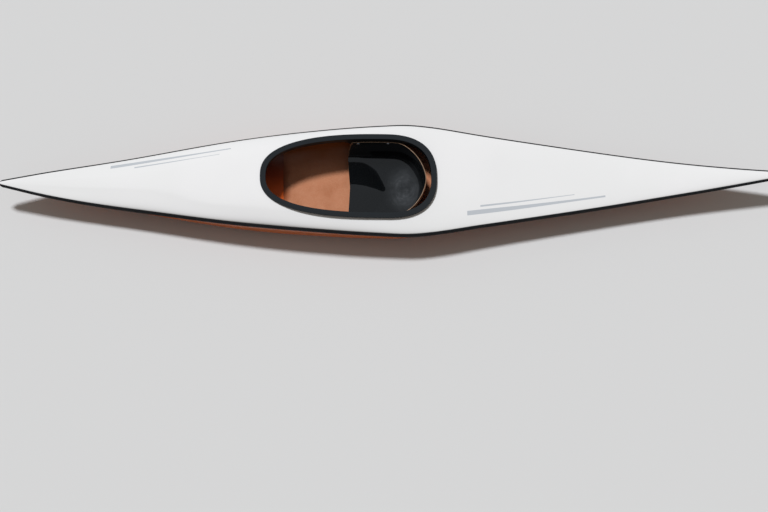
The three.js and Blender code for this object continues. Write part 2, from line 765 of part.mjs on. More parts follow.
// The sliding part, in the rails' frame: the foot lies on the rail and the upright leans towards the bow
const footFloor = railHeight + fit;
const heel = 0;

// The board stops short of the deck above it
const boardFloor = rails.position.z + footFloor + bracketThickness;
const boardRoof = deckHeight(railCentre, boardWidth / 2, skin) - boardHeadroom;
const boardHeight = (boardRoof - boardFloor) / Math.cos(boardLean) - boardLift;
const uprightHeight = boardHeight * uprightShare;
const rivetHeights = Object.entries(rivetShares).map(([place, share]) => [place, boardHeight * share]);

// Places a piece on the leaning face: its X is out of the face towards the seat, and its Z is up the face
function onBoard(geometry, y) {
  return geometry.clone().rotateY(-boardLean).translate(heel, y, footFloor + bracketThickness);
}

// Rivets lie along X: the head is countersunk in the board's face, and the tail is set behind the upright
const sinkFoot = boardThickness - rivetSinkDepth;
const tailSeat = -bracketThickness - fit;

function alongX(profile) {
  return turned(profile).rotateZ(-Math.PI / 2);
}

const rivetHole = alongX([
  [0, -overrun], [rivetRadius + fit, -overrun], [rivetRadius + fit, sinkFoot - fit],
  [rivetHeadRadius + fit * 2, boardThickness], [rivetHeadRadius + fit * 2, overrun], [0, overrun],
]);
const rivet = alongX([
  [0, tailSeat - rivetTailHeight], [rivetTailRadius * 0.7, tailSeat - rivetTailHeight * 0.7],
  [rivetTailRadius, tailSeat], [rivetRadius, tailSeat], [rivetRadius, sinkFoot],
  [rivetHeadRadius, boardThickness], [0, boardThickness],
]);

function bracket(y) {
  const foot = new THREE.BoxGeometry(footLength, railWidth, bracketThickness)
    .translate(heel - footLength / 2, y, footFloor + bracketThickness / 2);
  const uprightLength = uprightHeight + bracketThickness * 2;
  const upright = onBoard(new THREE.BoxGeometry(bracketThickness, railWidth, uprightLength)
    .translate(-bracketThickness / 2, 0, uprightHeight / 2 - bracketThickness), y);
  const under = new THREE.BoxGeometry(overrun * 3, railWidth * 2, overrun)
    .translate(heel, y, footFloor - overrun / 2);
  const tools = [
    under,
    rod(clampRadius + fit, overrun).rotateX(Math.PI / 2).translate(heel - clampAt, y, footFloor),
    ...rivetHeights.map(([, up]) => onBoard(rivetHole.clone().translate(0, 0, up), y)),
  ];
  return cut(joined([foot, upright]), tools);
}

function footBoard() {
  const [w, low, high, r] = [boardWidth / 2, boardLift, boardLift + boardHeight, boardCorner];
  const outline = new THREE.Shape();
  outline.moveTo(-w + r / 2, low).lineTo(w - r / 2, low);
  outline.quadraticCurveTo(w, low, w, low + r / 2).lineTo(w, high - r);
  outline.quadraticCurveTo(w, high, w - r, high).lineTo(-w + r, high);
  outline.quadraticCurveTo(-w, high, -w, high - r).lineTo(-w, low + r / 2);
  outline.quadraticCurveTo(-w, low, -w + r / 2, low);
  const options = { depth: boardThickness, bevelEnabled: false, curveSegments: cornerSteps };
  const board = new THREE.ExtrudeGeometry(outline, options)
    .rotateX(Math.PI / 2).rotateZ(Math.PI / 2).translate(fit, 0, 0);
  const holes = [];
  for (const side of [-1, 1]) {
    for (const [, up] of rivetHeights) holes.push(rivetHole.clone().translate(0, side * railSpread / 2, up));
  }
  return onBoard(cut(board, holes), 0);
}

const clampHeadTop = railHeight - railWall - fit;
const washerFloor = footFloor + bracketThickness + fit;
const wingFloor = washerFloor + washerThickness + fit;

function clampBolt(y) {
  const head = new THREE.BoxGeometry(clampHeadSize, clampHeadSize, clampHeadHeight)
    .translate(heel - clampAt, y, clampHeadTop - clampHeadHeight / 2);
  const shank = rod(clampRadius, clampLength).rotateX(Math.PI / 2)
    .translate(heel - clampAt, y, clampHeadTop - clampHeadHeight / 2 + clampLength / 2);
  return joined([head, shank]);
}

function clampWasher(y) {
  return seatWasher.clone().rotateX(Math.PI / 2).translate(heel - clampAt, y, washerFloor);
}

function wingNut(y) {
  const hub = rod(wingHubRadius, wingHubHeight).rotateX(Math.PI / 2).translate(0, 0, wingHubHeight / 2);
  const wings = new THREE.Shape();
  const [half, low, rise] = [wingSpan / 2, wingHubHeight * 0.35, wingRise];
  wings.moveTo(-wingHubRadius * 0.8, low).lineTo(wingHubRadius * 0.8, low);
  wings.lineTo(half * 0.8, low + rise * 0.2);
  wings.quadraticCurveTo(half, rise * 0.7, half * 0.92, rise);
  wings.quadraticCurveTo(half * 0.6, rise, wingHubRadius * 0.8, wingHubHeight);
  wings.lineTo(-wingHubRadius * 0.8, wingHubHeight).quadraticCurveTo(-half * 0.6, rise, -half * 0.92, rise);
  wings.quadraticCurveTo(-half, rise * 0.7, -half * 0.8, low + rise * 0.2);
  const options = { depth: wingThickness, bevelEnabled: false, curveSegments: cornerSteps };
  const blade = new THREE.ExtrudeGeometry(wings, options)
    .translate(0, 0, -wingThickness / 2).rotateX(Math.PI / 2).rotateZ(Math.PI / 2);
  const bore = rod(clampRadius + fit, overrun).rotateX(Math.PI / 2);
  return cut(joined([hub, blade]), [bore]).translate(heel - clampAt, y, wingFloor);
}

piece('footrest_board', footBoard(), 'blackPlastic', rails);
for (const [name, side] of [['port', -1], ['starboard', 1]]) {
  const y = side * railSpread / 2;
  piece(`rail_bed_${name}`, railBed(y), 'laminate');
  piece(`footrest_rail_${name}`, railChannel().translate(0, y, 0), 'aluminium', rails);
  for (const [place, x] of Object.entries(screwPlaces)) {
    piece(`rail_screw_${name}_${place}`, railScrew.clone().translate(x, y, 0), 'steel', rails);
  }
  piece(`footrest_bracket_${name}`, bracket(y), 'aluminium', rails);
  for (const [place, up] of rivetHeights) {
    piece(`footrest_rivet_${name}_${place}`, onBoard(rivet.clone().translate(0, 0, up), y), 'steel', rails);
  }
  piece(`clamp_bolt_${name}`, clampBolt(y), 'steel', rails);
  piece(`clamp_washer_${name}`, clampWasher(y), 'steel', rails);
  piece(`wing_nut_${name}`, wingNut(y), 'steel', rails);
}

export default kayak;
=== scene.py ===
"""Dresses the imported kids' kayak for its portrait.

Smooth mouldings over the CAD frame, their finishes, and the floor, light and camera.
"""

import json
import math

import bpy
from mathutils import Matrix, Quaternion, Vector, noise


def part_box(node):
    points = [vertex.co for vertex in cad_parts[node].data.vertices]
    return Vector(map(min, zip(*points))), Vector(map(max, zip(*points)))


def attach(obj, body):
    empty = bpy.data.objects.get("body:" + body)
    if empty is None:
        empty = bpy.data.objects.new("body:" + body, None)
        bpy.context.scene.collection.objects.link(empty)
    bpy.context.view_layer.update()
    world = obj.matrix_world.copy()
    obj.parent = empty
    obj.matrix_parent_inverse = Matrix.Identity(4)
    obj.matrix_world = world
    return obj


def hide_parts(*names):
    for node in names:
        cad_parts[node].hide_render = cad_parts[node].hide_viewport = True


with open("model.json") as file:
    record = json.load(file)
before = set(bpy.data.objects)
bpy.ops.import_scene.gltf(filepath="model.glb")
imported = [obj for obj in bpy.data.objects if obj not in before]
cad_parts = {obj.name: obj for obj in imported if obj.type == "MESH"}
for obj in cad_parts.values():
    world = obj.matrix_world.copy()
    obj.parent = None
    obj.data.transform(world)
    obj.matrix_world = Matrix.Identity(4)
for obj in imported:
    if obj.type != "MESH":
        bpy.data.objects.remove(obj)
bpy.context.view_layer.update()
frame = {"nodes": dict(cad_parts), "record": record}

mm = 0.001

# Sizes of the boat. They are the CAD model's, but the edge of the deck, the band's section, the seat's pan, ridge
# and walls and the patch differ from it a little
half_length = 1791.2 * mm
beam = 542 * mm
depth = 227 * mm
skin = 3 * mm
stem_breadth = 10 * mm
stem_keel_breadth = 4 * mm
keel_flat_width = 36 * mm
shoulder_rise = 12 * mm
shoulder_power = 0.55
fit = 0.3 * mm

band_height = 29 * mm
band_end_height = 17 * mm
band_thickness = 8.5 * mm
band_power = 2.0
band_full_from = 0.5

rim_widest_at = -43 * mm
rim_fore = 561 * mm
rim_aft = 240 * mm
rim_half_width = 209 * mm
rim_power = 2.55
rim_drop = 28 * mm
lip_width = 26 * mm
lip_thickness = 4 * mm
lip_edge = 8 * mm
lip_room = 3.5 * mm
rim_wall = 3 * mm
rim_flange = 15 * mm
rim_skirt = 8 * mm
hanger_depth = 78 * mm
hanger_end_ramp = 34 * mm
bond_line = 1.8 * mm

seat_wall = 4 * mm
seat_front = -211 * mm
seat_centre = 16 * mm
seat_rear = 150 * mm
seat_clearance = 1.3 * mm
wing_drop = 26 * mm
wing_sweep = 18 * mm
ridge_sweep = 12 * mm
back_height = 176 * mm
pan_front_height = 42 * mm
pan_height = 30 * mm
ridge_height = 45 * mm
ridge_half_width = 182 * mm
ridge_crest = 2 * mm
ridge_end = -28 * mm
ridge_foot = 2 * mm
side_power = 6.6
back_power = 4.6
seat_plan_power = 1.7
seat_edge_round = 1.1 * mm

patch_from = -508 * mm
patch_to = 197 * mm
patch_share = 0.9
patch_thickness = 1.2 * mm
patch_raggedness = 5 * mm
patch_waver = 0.012
tape_height = 26 * mm
tape_reach = 1283 * mm
tape_thickness = 1.5 * mm

both_sides = (("port", -1), ("starboard", 1))

# Lines of the boat: a share of the half length, and the share of the half beam or of the depth there
plan_shares = [
    (-1, 0), (-0.87, 0.2), (-0.63, 0.484), (-0.39, 0.748), (-0.145, 0.928), (-0.024, 0.985),
    (0.035, 1), (0.097, 0.962), (0.218, 0.822), (0.46, 0.555), (0.7, 0.292), (0.88, 0.113), (1, 0),
]
keel_shares = [
    (-1, 0.696), (-0.88, 0.555), (-0.76, 0.374), (-0.64, 0.238), (-0.525, 0.136), (-0.407, 0.055),
    (-0.31, 0.012), (-0.25, 0), (-0.2, 0), (-0.06, 0), (0, 0.004), (0.068, 0.035), (0.187, 0.125),
    (0.305, 0.216), (0.543, 0.374), (0.72, 0.505), (0.9, 0.66), (1, 0.762),
]
seam_shares = [
    (-1, 0.73), (-0.86, 0.632), (-0.72, 0.587), (-0.45, 0.656), (-0.24, 0.704), (-0.05, 0.702),
    (0.1, 0.668), (0.32, 0.597), (0.55, 0.56), (0.75, 0.602), (0.9, 0.7), (1, 0.8),
]
crown_shares = [
    (-1, 0.768), (-0.88, 0.729), (-0.8, 0.722), (-0.7, 0.768), (-0.585, 0.837), (-0.466, 0.897),
    (-0.37, 0.957), (-0.33, 0.972), (-0.24, 0.962), (-0.12, 0.938), (-0.024, 0.902), (0.05, 0.852),
    (0.111, 0.805), (0.187, 0.768), (0.305, 0.705), (0.424, 0.677), (0.543, 0.661), (0.661, 0.668),
    (0.78, 0.703), (0.896, 0.765), (1, 0.838),
]
hull_powers = [(-1, 1.5), (-0.7, 2.6), (-0.4, 3.7), (-0.1, 3.2), (0.1, 2.3), (0.5, 1.9), (1, 1.5)]
deck_powers = [(-1, 2), (-0.45, 2.3), (-0.25, 3.2), (0.05, 3.2), (0.25, 2.6), (1, 2)]
hull_turn_shares = [(-1, 0.8), (-0.8, 1), (0, 1), (0.16, 0.84), (1, 0.8)]
# Knuckle of the deck, where its top turns down into its flank: share of the half breadth, change of slope
knuckle_shares = [
    (-1, 0.2), (-0.88, 0.24), (-0.7, 0.29), (-0.6, 0.34), (-0.55, 0.47), (-0.5, 0.62),
    (-0.36, 0.69), (0, 0.74), (1, 0.74),
]
knuckle_slope_shares = [
    (-1, 0), (-0.9, 0.1), (-0.6, 0.14), (-0.35, 0.14), (-0.15, 0.05), (0, 0), (0.5, 0), (1, 0),
]


def lerp(a, b, t):
    return a + (b - a) * t


def clamp(value, low=0.0, high=1.0):
    return max(low, min(high, value))


def smoothstep(value, low, high):
    t = clamp((value - low) / (high - low))
    return t * t * (3 - 2 * t)


def faired(pairs):
    """A fair curve through (place, value) pairs: each pair's slope is the mean of the chords on either side of it."""
    places = [p for p, _ in pairs]
    values = [v for _, v in pairs]
    last = len(pairs) - 1
    chords = [(values[k + 1] - values[k]) / (places[k + 1] - places[k]) for k in range(last)]

    def slope(k):
        beside = chords[max(k - 1, 0):k + 1]
        return sum(beside) / len(beside)

    def curve(place):
        k = next((i for i in range(1, last) if place < places[i]), last)
        span = places[k] - places[k - 1]
        rise = values[k] - values[k - 1]
        start, end = slope(k - 1), slope(k)
        t = (place - places[k - 1]) / span
        return (
            values[k - 1] + t * span * start
            + t * t * (3 * rise - span * (2 * start + end))
            + t * t * t * (span * (start + end) - 2 * rise)
        )

    return curve


plan_at = faired(plan_shares)
keel_at = faired(keel_shares)
seam_at = faired(seam_shares)
crown_at = faired(crown_shares)
hull_power_at = faired(hull_powers)
deck_power_at = faired(deck_powers)
hull_turn_at = faired(hull_turn_shares)
knuckle_at = faired(knuckle_shares)
knuckle_slope_at = faired(knuckle_slope_shares)


def lines_at(x):
    """Breadths and heights of the shells at one place along the length."""
    along = clamp(x / half_length, -1, 1)
    share = max(plan_at(along), 0)
    band = lerp(band_end_height, band_height, min(share / band_full_from, 1))
    seam = depth * seam_at(along)
    return {
        "half": stem_breadth / 2 + (beam - stem_breadth) / 2 * share,
        "keel_half": lerp(stem_keel_breadth, keel_flat_width, share) / 2,
        "keel": depth * max(keel_at(along), 0),
        "seam": seam,
        "band": band,
        "shoulder": seam + shoulder_rise * band / band_height,
        "crown": depth * crown_at(along),
        "hull_power": hull_power_at(along),
        "deck_power": deck_power_at(along),
        "turn": min(hull_turn_at(along), 1) * math.pi / 2,
        "knuckle": knuckle_at(along),
        "knuckle_slope": max(knuckle_slope_at(along), 0),
    }


def hull_point(x, side, share, inset):
    """A point of the hull's section: share runs from the keel flat to the seam."""
    at = lines_at(x)
    power = 2 / at["hull_power"]
    angle = at["turn"] * share
    out = (math.sin(angle) / math.sin(at["turn"])) ** power
    up = (1 - max(math.cos(angle), 0) ** power) / (1 - max(math.cos(at["turn"]), 0) ** power)
    low = at["keel"] + inset
    y = at["keel_half"] + (at["half"] - inset - at["keel_half"]) * out
    return Vector((x, side * y, low + (at["seam"] - low) * up))


def deck_height(x, y, inset=0.0):
    at = lines_at(x)
    half = at["half"] - inset
    t = min(abs(y) / half, 1)
    beyond = max(t - at["knuckle"], 0) * half
    fall = at["knuckle_slope"] * beyond * (1 - t) / (1 - at["knuckle"])
    crown = at["crown"] - inset - at["shoulder"]
    return at["shoulder"] + crown * (1 - t ** at["deck_power"]) ** shoulder_power - fall


# Blender steps that every piece goes through


face_outwards = (bpy.ops.mesh.normals_make_consistent, {"inside": False})
select_whole = (bpy.ops.mesh.select_all, {"action": "SELECT"})


def deselect():
    bpy.ops.object.select_all(action="DESELECT")


def select_only(piece):
    deselect()
    piece.select_set(True)
    bpy.context.view_layer.objects.active = piece


def sheet(name, along, across, point):
    """A grid whose corners are placed by point(u, v), with u and v from 0 to 1."""
    deselect()
    bpy.ops.mesh.primitive_grid_add(x_subdivisions=along, y_subdivisions=across, size=2)
    piece = bpy.context.object
    piece.name = name
    for vertex in piece.data.vertices:
        vertex.co = point((vertex.co.x + 1) / 2, (vertex.co.y + 1) / 2)
    return piece


def edit(piece, *steps, kind="VERT", chosen=None):
    """Runs edit-mode operators on the whole of a piece, or on the edges or faces that a test picks."""
    select_only(piece)
    bpy.ops.object.mode_set(mode="EDIT")
    bpy.ops.mesh.select_mode(type=kind)
    bpy.ops.mesh.select_all(action="DESELECT" if chosen else "SELECT")
    if chosen:
        bpy.ops.object.mode_set(mode="OBJECT")
        for part in piece.data.edges if kind == "EDGE" else piece.data.polygons:
            part.select = chosen(part)
        bpy.ops.object.mode_set(mode="EDIT")
    for step, settings in steps:
        step(**settings)
    bpy.ops.mesh.select_mode(type="VERT")
    bpy.ops.object.mode_set(mode="OBJECT")


def welded(piece, gap=0.02 * mm):
    edit(
        piece,
        (bpy.ops.mesh.remove_doubles, {"threshold": gap}),
        (bpy.ops.mesh.dissolve_degenerate, {"threshold": gap / 10}),
        face_outwards,
    )
    return piece


def capped(piece):
    """Closes every open end of a piece."""
    edit(
        piece,
        (bpy.ops.mesh.select_all, {"action": "DESELECT"}),
        (bpy.ops.mesh.select_non_manifold, {"extend": False}),
        (bpy.ops.mesh.edge_face_add, {}),
        select_whole,
        face_outwards,
    )
    return piece


def modified(piece, kind, **settings):
    bpy.context.view_layer.objects.active = piece
    modifier = piece.modifiers.new(kind.title(), kind)
    for key, value in settings.items():
        setattr(modifier, key, value)
    bpy.ops.object.modifier_apply(modifier=modifier.name)
    return piece


def cut(piece, *tools, operation="DIFFERENCE"):
    for tool in tools:
        modified(piece, "BOOLEAN", object=tool, operation=operation, solver="EXACT")
        bpy.data.objects.remove(tool)
    return piece


def joined(piece, *others):
    return cut(piece, *others, operation="UNION")


def smoothed(piece, levels=1):
    return modified(piece, "SUBSURF", levels=levels, render_levels=levels)


def shaded(piece, angle=35):
    select_only(piece)
    bpy.ops.object.shade_smooth_by_angle(angle=math.radians(angle))
    return piece


def painted(piece, *materials):
    for material in materials:
        piece.data.materials.append(material)
    return piece


def dressed(piece, body, replaces):
    """Gives a finished piece its body and hides the CAD nodes that it stands for."""
    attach(piece, body)
    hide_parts(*replaces)
    return piece


# Finishes


class Finish:
    """A node material under construction."""

    def __init__(self, name, colour, roughness, **inputs):
        self.material = bpy.data.materials.new(name)
        self.material.use_nodes = True
        self.tree = self.material.node_tree
        self.shader = self.tree.nodes["Principled BSDF"]
        self.set(self.shader, {"Base Color": (*colour, 1), "Roughness": roughness, **inputs})
        self.coordinates = self.tree.nodes.new("ShaderNodeTexCoord").outputs["Object"]

    def set(self, node, inputs):
        for key, value in inputs.items():
            if isinstance(value, bpy.types.NodeSocket):
                self.tree.links.new(value, node.inputs[key])
            else:
                node.inputs[key].default_value = value

    def node(self, kind, settings=None, **inputs):
        node = self.tree.nodes.new("ShaderNode" + kind)
        for key, value in (settings or {}).items():
            setattr(node, key, value)
        self.set(node, {key.replace("_", " "): value for key, value in inputs.items()})
        return node

    def stretched(self, x, y, z):
        return self.node("Mapping", Vector=self.coordinates, Scale=(x, y, z)).outputs["Vector"]

    def grain(self, scale, detail=2.0, roughness=0.5, vector=None):
        vector = self.coordinates if vector is None else vector
        node = self.node("TexNoise", Vector=vector, Scale=scale, Detail=detail, Roughness=roughness)
        return node.outputs["Fac"]

    def between(self, value, low, high, to_low=0.0, to_high=1.0):
        node = self.node("MapRange", {"interpolation_type": "SMOOTHSTEP"}, Value=value)
        for key, number in zip(("From Min", "From Max", "To Min", "To Max"), (low, high, to_low, to_high)):
            node.inputs[key].default_value = number
        return node.outputs["Result"]

    def axes(self, vector=None):
        vector = self.coordinates if vector is None else vector
        return self.node("SeparateXYZ", Vector=vector).outputs

    def up_the_flank(self, start, end):
        """Nought over the keel, and one beyond a distance from the middle line."""
        return self.between(self.maths("ABSOLUTE", self.axes()["Y"], 0.0), start, end)

    def maths(self, operation, a, b):
        node = self.node("Math", {"operation": operation})
        self.set(node, {0: a, 1: b})
        return node.outputs[0]

    def blend(self, share, a, b):
        node = self.node("Mix", {"data_type": "RGBA"})
        for socket, value in zip((node.inputs[0], node.inputs[6], node.inputs[7]), (share, a, b)):
            if isinstance(value, bpy.types.NodeSocket):
                self.tree.links.new(value, socket)
            else:
                socket.default_value = value if isinstance(value, float) else (*value, 1)
        return node.outputs[2]

    def bumped(self, height, strength, distance, normal=None):
        inputs = {"Height": height, "Strength": strength, "Distance": distance}
        if normal is not None:
            inputs["Normal"] = normal
        return self.node("Bump", **inputs).outputs["Normal"]

    def orange_peel(self, scale, strength=0.03):
        return self.bumped(self.grain(scale, 1), strength, 0.4 * mm)

    def use(self, **inputs):
        self.set(self.shader, {key.replace("_", " "): value for key, value in inputs.items()})
        return self.material


def hull_gelcoat():
    """Polished orange gelcoat: fine orange peel, faint mottling and, near the keel, scuffs along the boat."""
    orange, dull_orange = (0.92, 0.17, 0.004), (0.88, 0.155, 0.004)
    roughness = 0.2
    scuffs_up_to = 60 * mm
    finish = Finish("orange gelcoat", orange, roughness, **{"Coat Weight": 0.35, "Coat Roughness": 0.04})
    mottle = finish.between(finish.grain(2.2, 4), 0.35, 0.65)
    tint = finish.blend(mottle, orange, dull_orange)
    streaks = finish.between(finish.grain(1, 6, 0.65, finish.stretched(4, 160, 160)), 0.56, 0.7)
    low = finish.between(finish.axes()["Z"], 0.0, scuffs_up_to, 1.0, 0.0)
    scuffs = finish.maths("MULTIPLY", streaks, low)
    tint = finish.blend(scuffs, tint, tuple(lerp(c, 0.6, 0.35) for c in orange))
    haze = finish.between(finish.grain(9, 6), 0.4, 0.75, roughness * 0.8, roughness * 1.5)
    haze = finish.maths("ADD", haze, finish.maths("MULTIPLY", scuffs, 0.35))
    return finish.use(Base_Color=tint, Roughness=haze, Normal=finish.orange_peel(260, 0.035))


def deck_gelcoat():
    """White gelcoat with swept pale stripes on the aft deck and on the foredeck's shoulder."""
    white, dull_white = (0.84, 0.84, 0.85), (0.815, 0.82, 0.825)
    speck, stripe = (0.35, 0.33, 0.3), (0.5, 0.53, 0.57)
    finish = Finish("deck gelcoat", white, 0.2, **{"Specular IOR Level": 0.5})
    mottle = finish.between(finish.grain(1.8, 4), 0.35, 0.65)
    tint = finish.blend(mottle, white, dull_white)
    dust = finish.between(finish.grain(420, 3), 0.66, 0.72)
    tint = finish.blend(finish.maths("MULTIPLY", dust, 0.12), tint, speck)
    axes = finish.axes()
    for x_from, x_to, y_from, y_to, breadth in deck_stripes:
        slope = (y_to - y_from) / (x_to - x_from)
        across = finish.maths("SUBTRACT", axes["Y"], finish.maths("MULTIPLY", axes["X"], slope))
        offset = finish.maths("ABSOLUTE", finish.maths("SUBTRACT", across, y_from - slope * x_from), 0.0)
        taper = finish.between(axes["X"], x_from, x_to, breadth / 2, breadth / 5)
        inside = finish.between(finish.maths("SUBTRACT", taper, offset), 0.0, 0.4 * mm)
        start = finish.between(axes["X"], x_from, x_from + 1 * mm)
        end = finish.between(axes["X"], x_to - 1 * mm, x_to, 1.0, 0.0)
        share = finish.maths("MULTIPLY", inside, finish.maths("MULTIPLY", start, end))
        tint = finish.blend(share, tint, stripe)
    haze = finish.between(finish.grain(7, 6), 0.4, 0.75, 0.14, 0.26)
    return finish.use(Base_Color=tint, Roughness=haze, Normal=finish.orange_peel(240))


def bare_laminate():
    """Inside of the orange shell: woven glass in clear resin over the back of the gelcoat."""
    resin, thick_resin, glass = (0.36, 0.05, 0.011), (0.26, 0.033, 0.008), (0.45, 0.1, 0.03)
    painted_floor_light, painted_flank_shade = (0.95, 0.16, 0.02), (0.13, 0.022, 0.003)
    finish = Finish("bare laminate", (0.34, 0.05, 0.011), 0.45, **{"Specular IOR Level": 0.35})
    tows = []
    for axis in ("X", "Y"):
        tow = finish.node("TexWave", {"bands_direction": axis}, Vector=finish.coordinates, Scale=95.0, Distortion=1.6,
                          Detail=2.0)
        tows.append(tow.outputs["Fac"])
    weave = finish.maths("MAXIMUM", *tows)
    pale = finish.between(weave, 0.55, 1.0, 0.0, 0.3)
    pools = finish.between(finish.grain(11, 5), 0.4, 0.7)
    tint = finish.blend(pale, finish.blend(pools, resin, thick_resin), glass)
    # Painted light and shade: the laminate is lighter and redder over the floor and darker up the flanks
    tint = finish.blend(finish.up_the_flank(15 * mm, 115 * mm), finish.blend(0.75, tint, painted_floor_light), tint)
    tint = finish.blend(finish.up_the_flank(80 * mm, 190 * mm), tint, painted_flank_shade)
    cloth = finish.bumped(weave, 0.35, 0.6 * mm)
    lumps = finish.bumped(finish.grain(55, 3), 0.3, 1.2 * mm, cloth)
    return finish.use(Base_Color=tint, Roughness=finish.between(pools, 0, 1, 0.36, 0.52), Normal=lumps)


def strand_mat(name, front=None):
    """Chopped strands of glass under resin, peach over the orange shell. The resin runs out over its front edge."""
    peach, strand, blot, stain = (0.52, 0.215, 0.115), (0.62, 0.33, 0.2), (0.57, 0.26, 0.15), (0.33, 0.11, 0.045)
    bare_resin, painted_flank_shade = (0.22, 0.05, 0.013), (0.2, 0.05, 0.004)
    layers, first_turn, layer_shift = 4, 0.3, 0.37
    strand_size = (1 / 24, 1 / 460, 1 / 60)
    finish = Finish(name, peach, 0.5, **{"Specular IOR Level": 0.35})
    tint = peach
    height = None
    for layer in range(layers):
        turned = finish.node("Mapping", {"vector_type": "TEXTURE"}, Vector=finish.coordinates, Scale=strand_size,
                             Rotation=(0, 0, layer * math.pi / layers + first_turn),
                             Location=(layer * layer_shift, 0, 0)).outputs["Vector"]
        strands = finish.between(finish.grain(1, 2, 0.6, turned), 0.56, 0.66)
        tint = finish.blend(finish.maths("MULTIPLY", strands, 0.3), tint, strand)
        height = strands if height is None else finish.maths("ADD", height, strands)
    blots = finish.between(finish.grain(34, 4, 0.6), 0.4, 0.66, 0.0, 0.28)
    tint = finish.blend(blots, tint, blot)
    stains = finish.between(finish.grain(8, 5), 0.45, 0.75, 0.0, 0.4)
    tint = finish.blend(stains, tint, stain)
    if front is not None:
        waver = finish.maths("MULTIPLY", finish.grain(22, 4, 0.6), 40 * mm)
        wavering = finish.maths("ADD", finish.axes()["X"], waver)
        cover = finish.between(wavering, front + 16 * mm, front + 64 * mm)
        tint = finish.blend(cover, bare_resin, tint)
    # Painted shade: the mat darkens towards the flanks
    tint = finish.blend(finish.up_the_flank(95 * mm, 215 * mm), tint, painted_flank_shade)
    relief = finish.bumped(height, 0.25, 0.5 * mm)
    lumps = finish.bumped(finish.grain(38, 3), 0.3, 1.5 * mm, relief)
    return finish.use(Base_Color=tint, Roughness=finish.between(stains, 0, 0.45, 0.45, 0.62), Normal=lumps)


dust_grey = (0.16, 0.16, 0.16)


def black_gelcoat(name, colour, gloss, dust_share):
    """Black gelcoat with handling marks and a little dust."""
    finish = Finish(name, colour, 0.5, **{"Specular IOR Level": 0.1, "Coat Weight": gloss, "Coat Roughness": 0.06})
    dust = finish.between(finish.grain(520, 2), 0.6, 0.7, 0.0, dust_share)
    tint = finish.blend(dust, colour, dust_grey)
    smears = finish.between(finish.grain(14, 6, 0.6), 0.42, 0.7, 0.45, 0.7)
    facing = finish.tree.nodes.new("ShaderNodeTexCoord").outputs["Normal"]
    polish = finish.between(finish.axes(facing)["Z"], 0.3, 0.8, gloss * 0.1, gloss)
    return finish.use(Base_Color=tint, Roughness=smears, Coat_Weight=polish, Normal=finish.orange_peel(200))


def seat_gelcoat():
    """Black gelcoat of the seat, with rings of polishing haze round the bottom of the bowl, which make the coat a
    little smoother there; their sheen is a grey painted highlight in the colour.
    """
    black, painted_sheen_grey = (0.002, 0.0025, 0.003), (0.29, 0.31, 0.34)
    bowl_x, bowl_y, bowl_shape = 48 * mm, 11 * mm, (1, 0.8, 0)
    haze_and_sheen_reach = 108 * mm
    coat = {"Specular IOR Level": 0.1, "Coat Weight": 0.75, "Coat Roughness": 0.06}
    finish = Finish("seat gelcoat", black, 0.55, **coat)
    middle = finish.node("Mapping", Vector=finish.coordinates, Location=(-bowl_x, -bowl_y, 0)).outputs["Vector"]
    flat = finish.node("VectorMath", {"operation": "MULTIPLY"})
    finish.set(flat, {0: middle, 1: bowl_shape})
    axes = finish.axes(flat.outputs[0])
    turn = finish.maths("ARCTAN2", axes["Y"], axes["X"])
    away = finish.node("VectorMath", {"operation": "LENGTH"})
    finish.set(away, {0: flat.outputs[0]})
    radius = away.outputs["Value"]
    rubbed = finish.node("CombineXYZ", X=finish.maths("MULTIPLY", radius, 90.0), Y=finish.maths("MULTIPLY", turn, 1.6))
    arcs = finish.between(finish.grain(1, 3, 0.6, rubbed.outputs[0]), 0.35, 0.75)
    clouds = finish.between(finish.grain(9, 4, 0.6), 0.25, 0.7)
    near = finish.between(radius, 0.0, haze_and_sheen_reach, 1.0, 0.0)
    rubs = finish.between(arcs, 0.0, 1.0, 0.6, 1.0)
    swirl_and_sheen = finish.maths("MULTIPLY", finish.maths("MULTIPLY", rubs, clouds), near)
    dust = finish.between(finish.grain(300, 3), 0.6, 0.72, 0.0, 0.05)
    # Painted highlight: the sheen of the polishing rings is painted in as grey
    tint = finish.blend(finish.maths("MULTIPLY", swirl_and_sheen, 0.27), black, painted_sheen_grey)
    tint = finish.blend(dust, tint, dust_grey)
    haze = finish.maths("SUBTRACT", 0.62, finish.maths("MULTIPLY", swirl_and_sheen, 0.1))
    return finish.use(Base_Color=tint, Roughness=haze, Normal=finish.orange_peel(180))


def cut_edge():
    """Sawn and rubbed edge of the seat's laminate, with the plies showing."""
    glass, resin = (0.31, 0.21, 0.145), (0.19, 0.12, 0.075)
    finish = Finish("cut edge", glass, 0.55)
    plies = finish.grain(1, 3, 0.6, finish.stretched(30, 30, 1400))
    tint = finish.blend(finish.between(plies, 0.35, 0.65), glass, resin)
    return finish.use(Base_Color=tint, Normal=finish.bumped(plies, 0.2, 0.2 * mm))


def closed_foam():
    cream, aged_cream = (0.82, 0.81, 0.74), (0.72, 0.7, 0.62)
    finish = Finish("closed-cell foam", (0.8, 0.79, 0.72), 0.9)
    cells = finish.node("TexVoronoi", Vector=finish.coordinates, Scale=450.0).outputs["Distance"]
    tint = finish.blend(finish.between(finish.grain(5, 4), 0.4, 0.7), cream, aged_cream)
    return finish.use(Base_Color=tint, Normal=finish.bumped(cells, 0.4, 0.6 * mm))


def brushed_metal(name, colour, roughness, streak):
    finish = Finish(name, colour, roughness, Metallic=1.0)
    brushing = finish.grain(1, 4, 0.6, finish.stretched(*streak))
    haze = finish.between(brushing, 0.3, 0.7, roughness * 0.75, roughness * 1.4)
    dull = tuple(c * 0.82 for c in colour)
    tint = finish.blend(finish.between(finish.grain(30, 4), 0.4, 0.75), colour, dull)
    return finish.use(Base_Color=tint, Roughness=haze, Normal=finish.bumped(brushing, 0.06, 0.2 * mm))


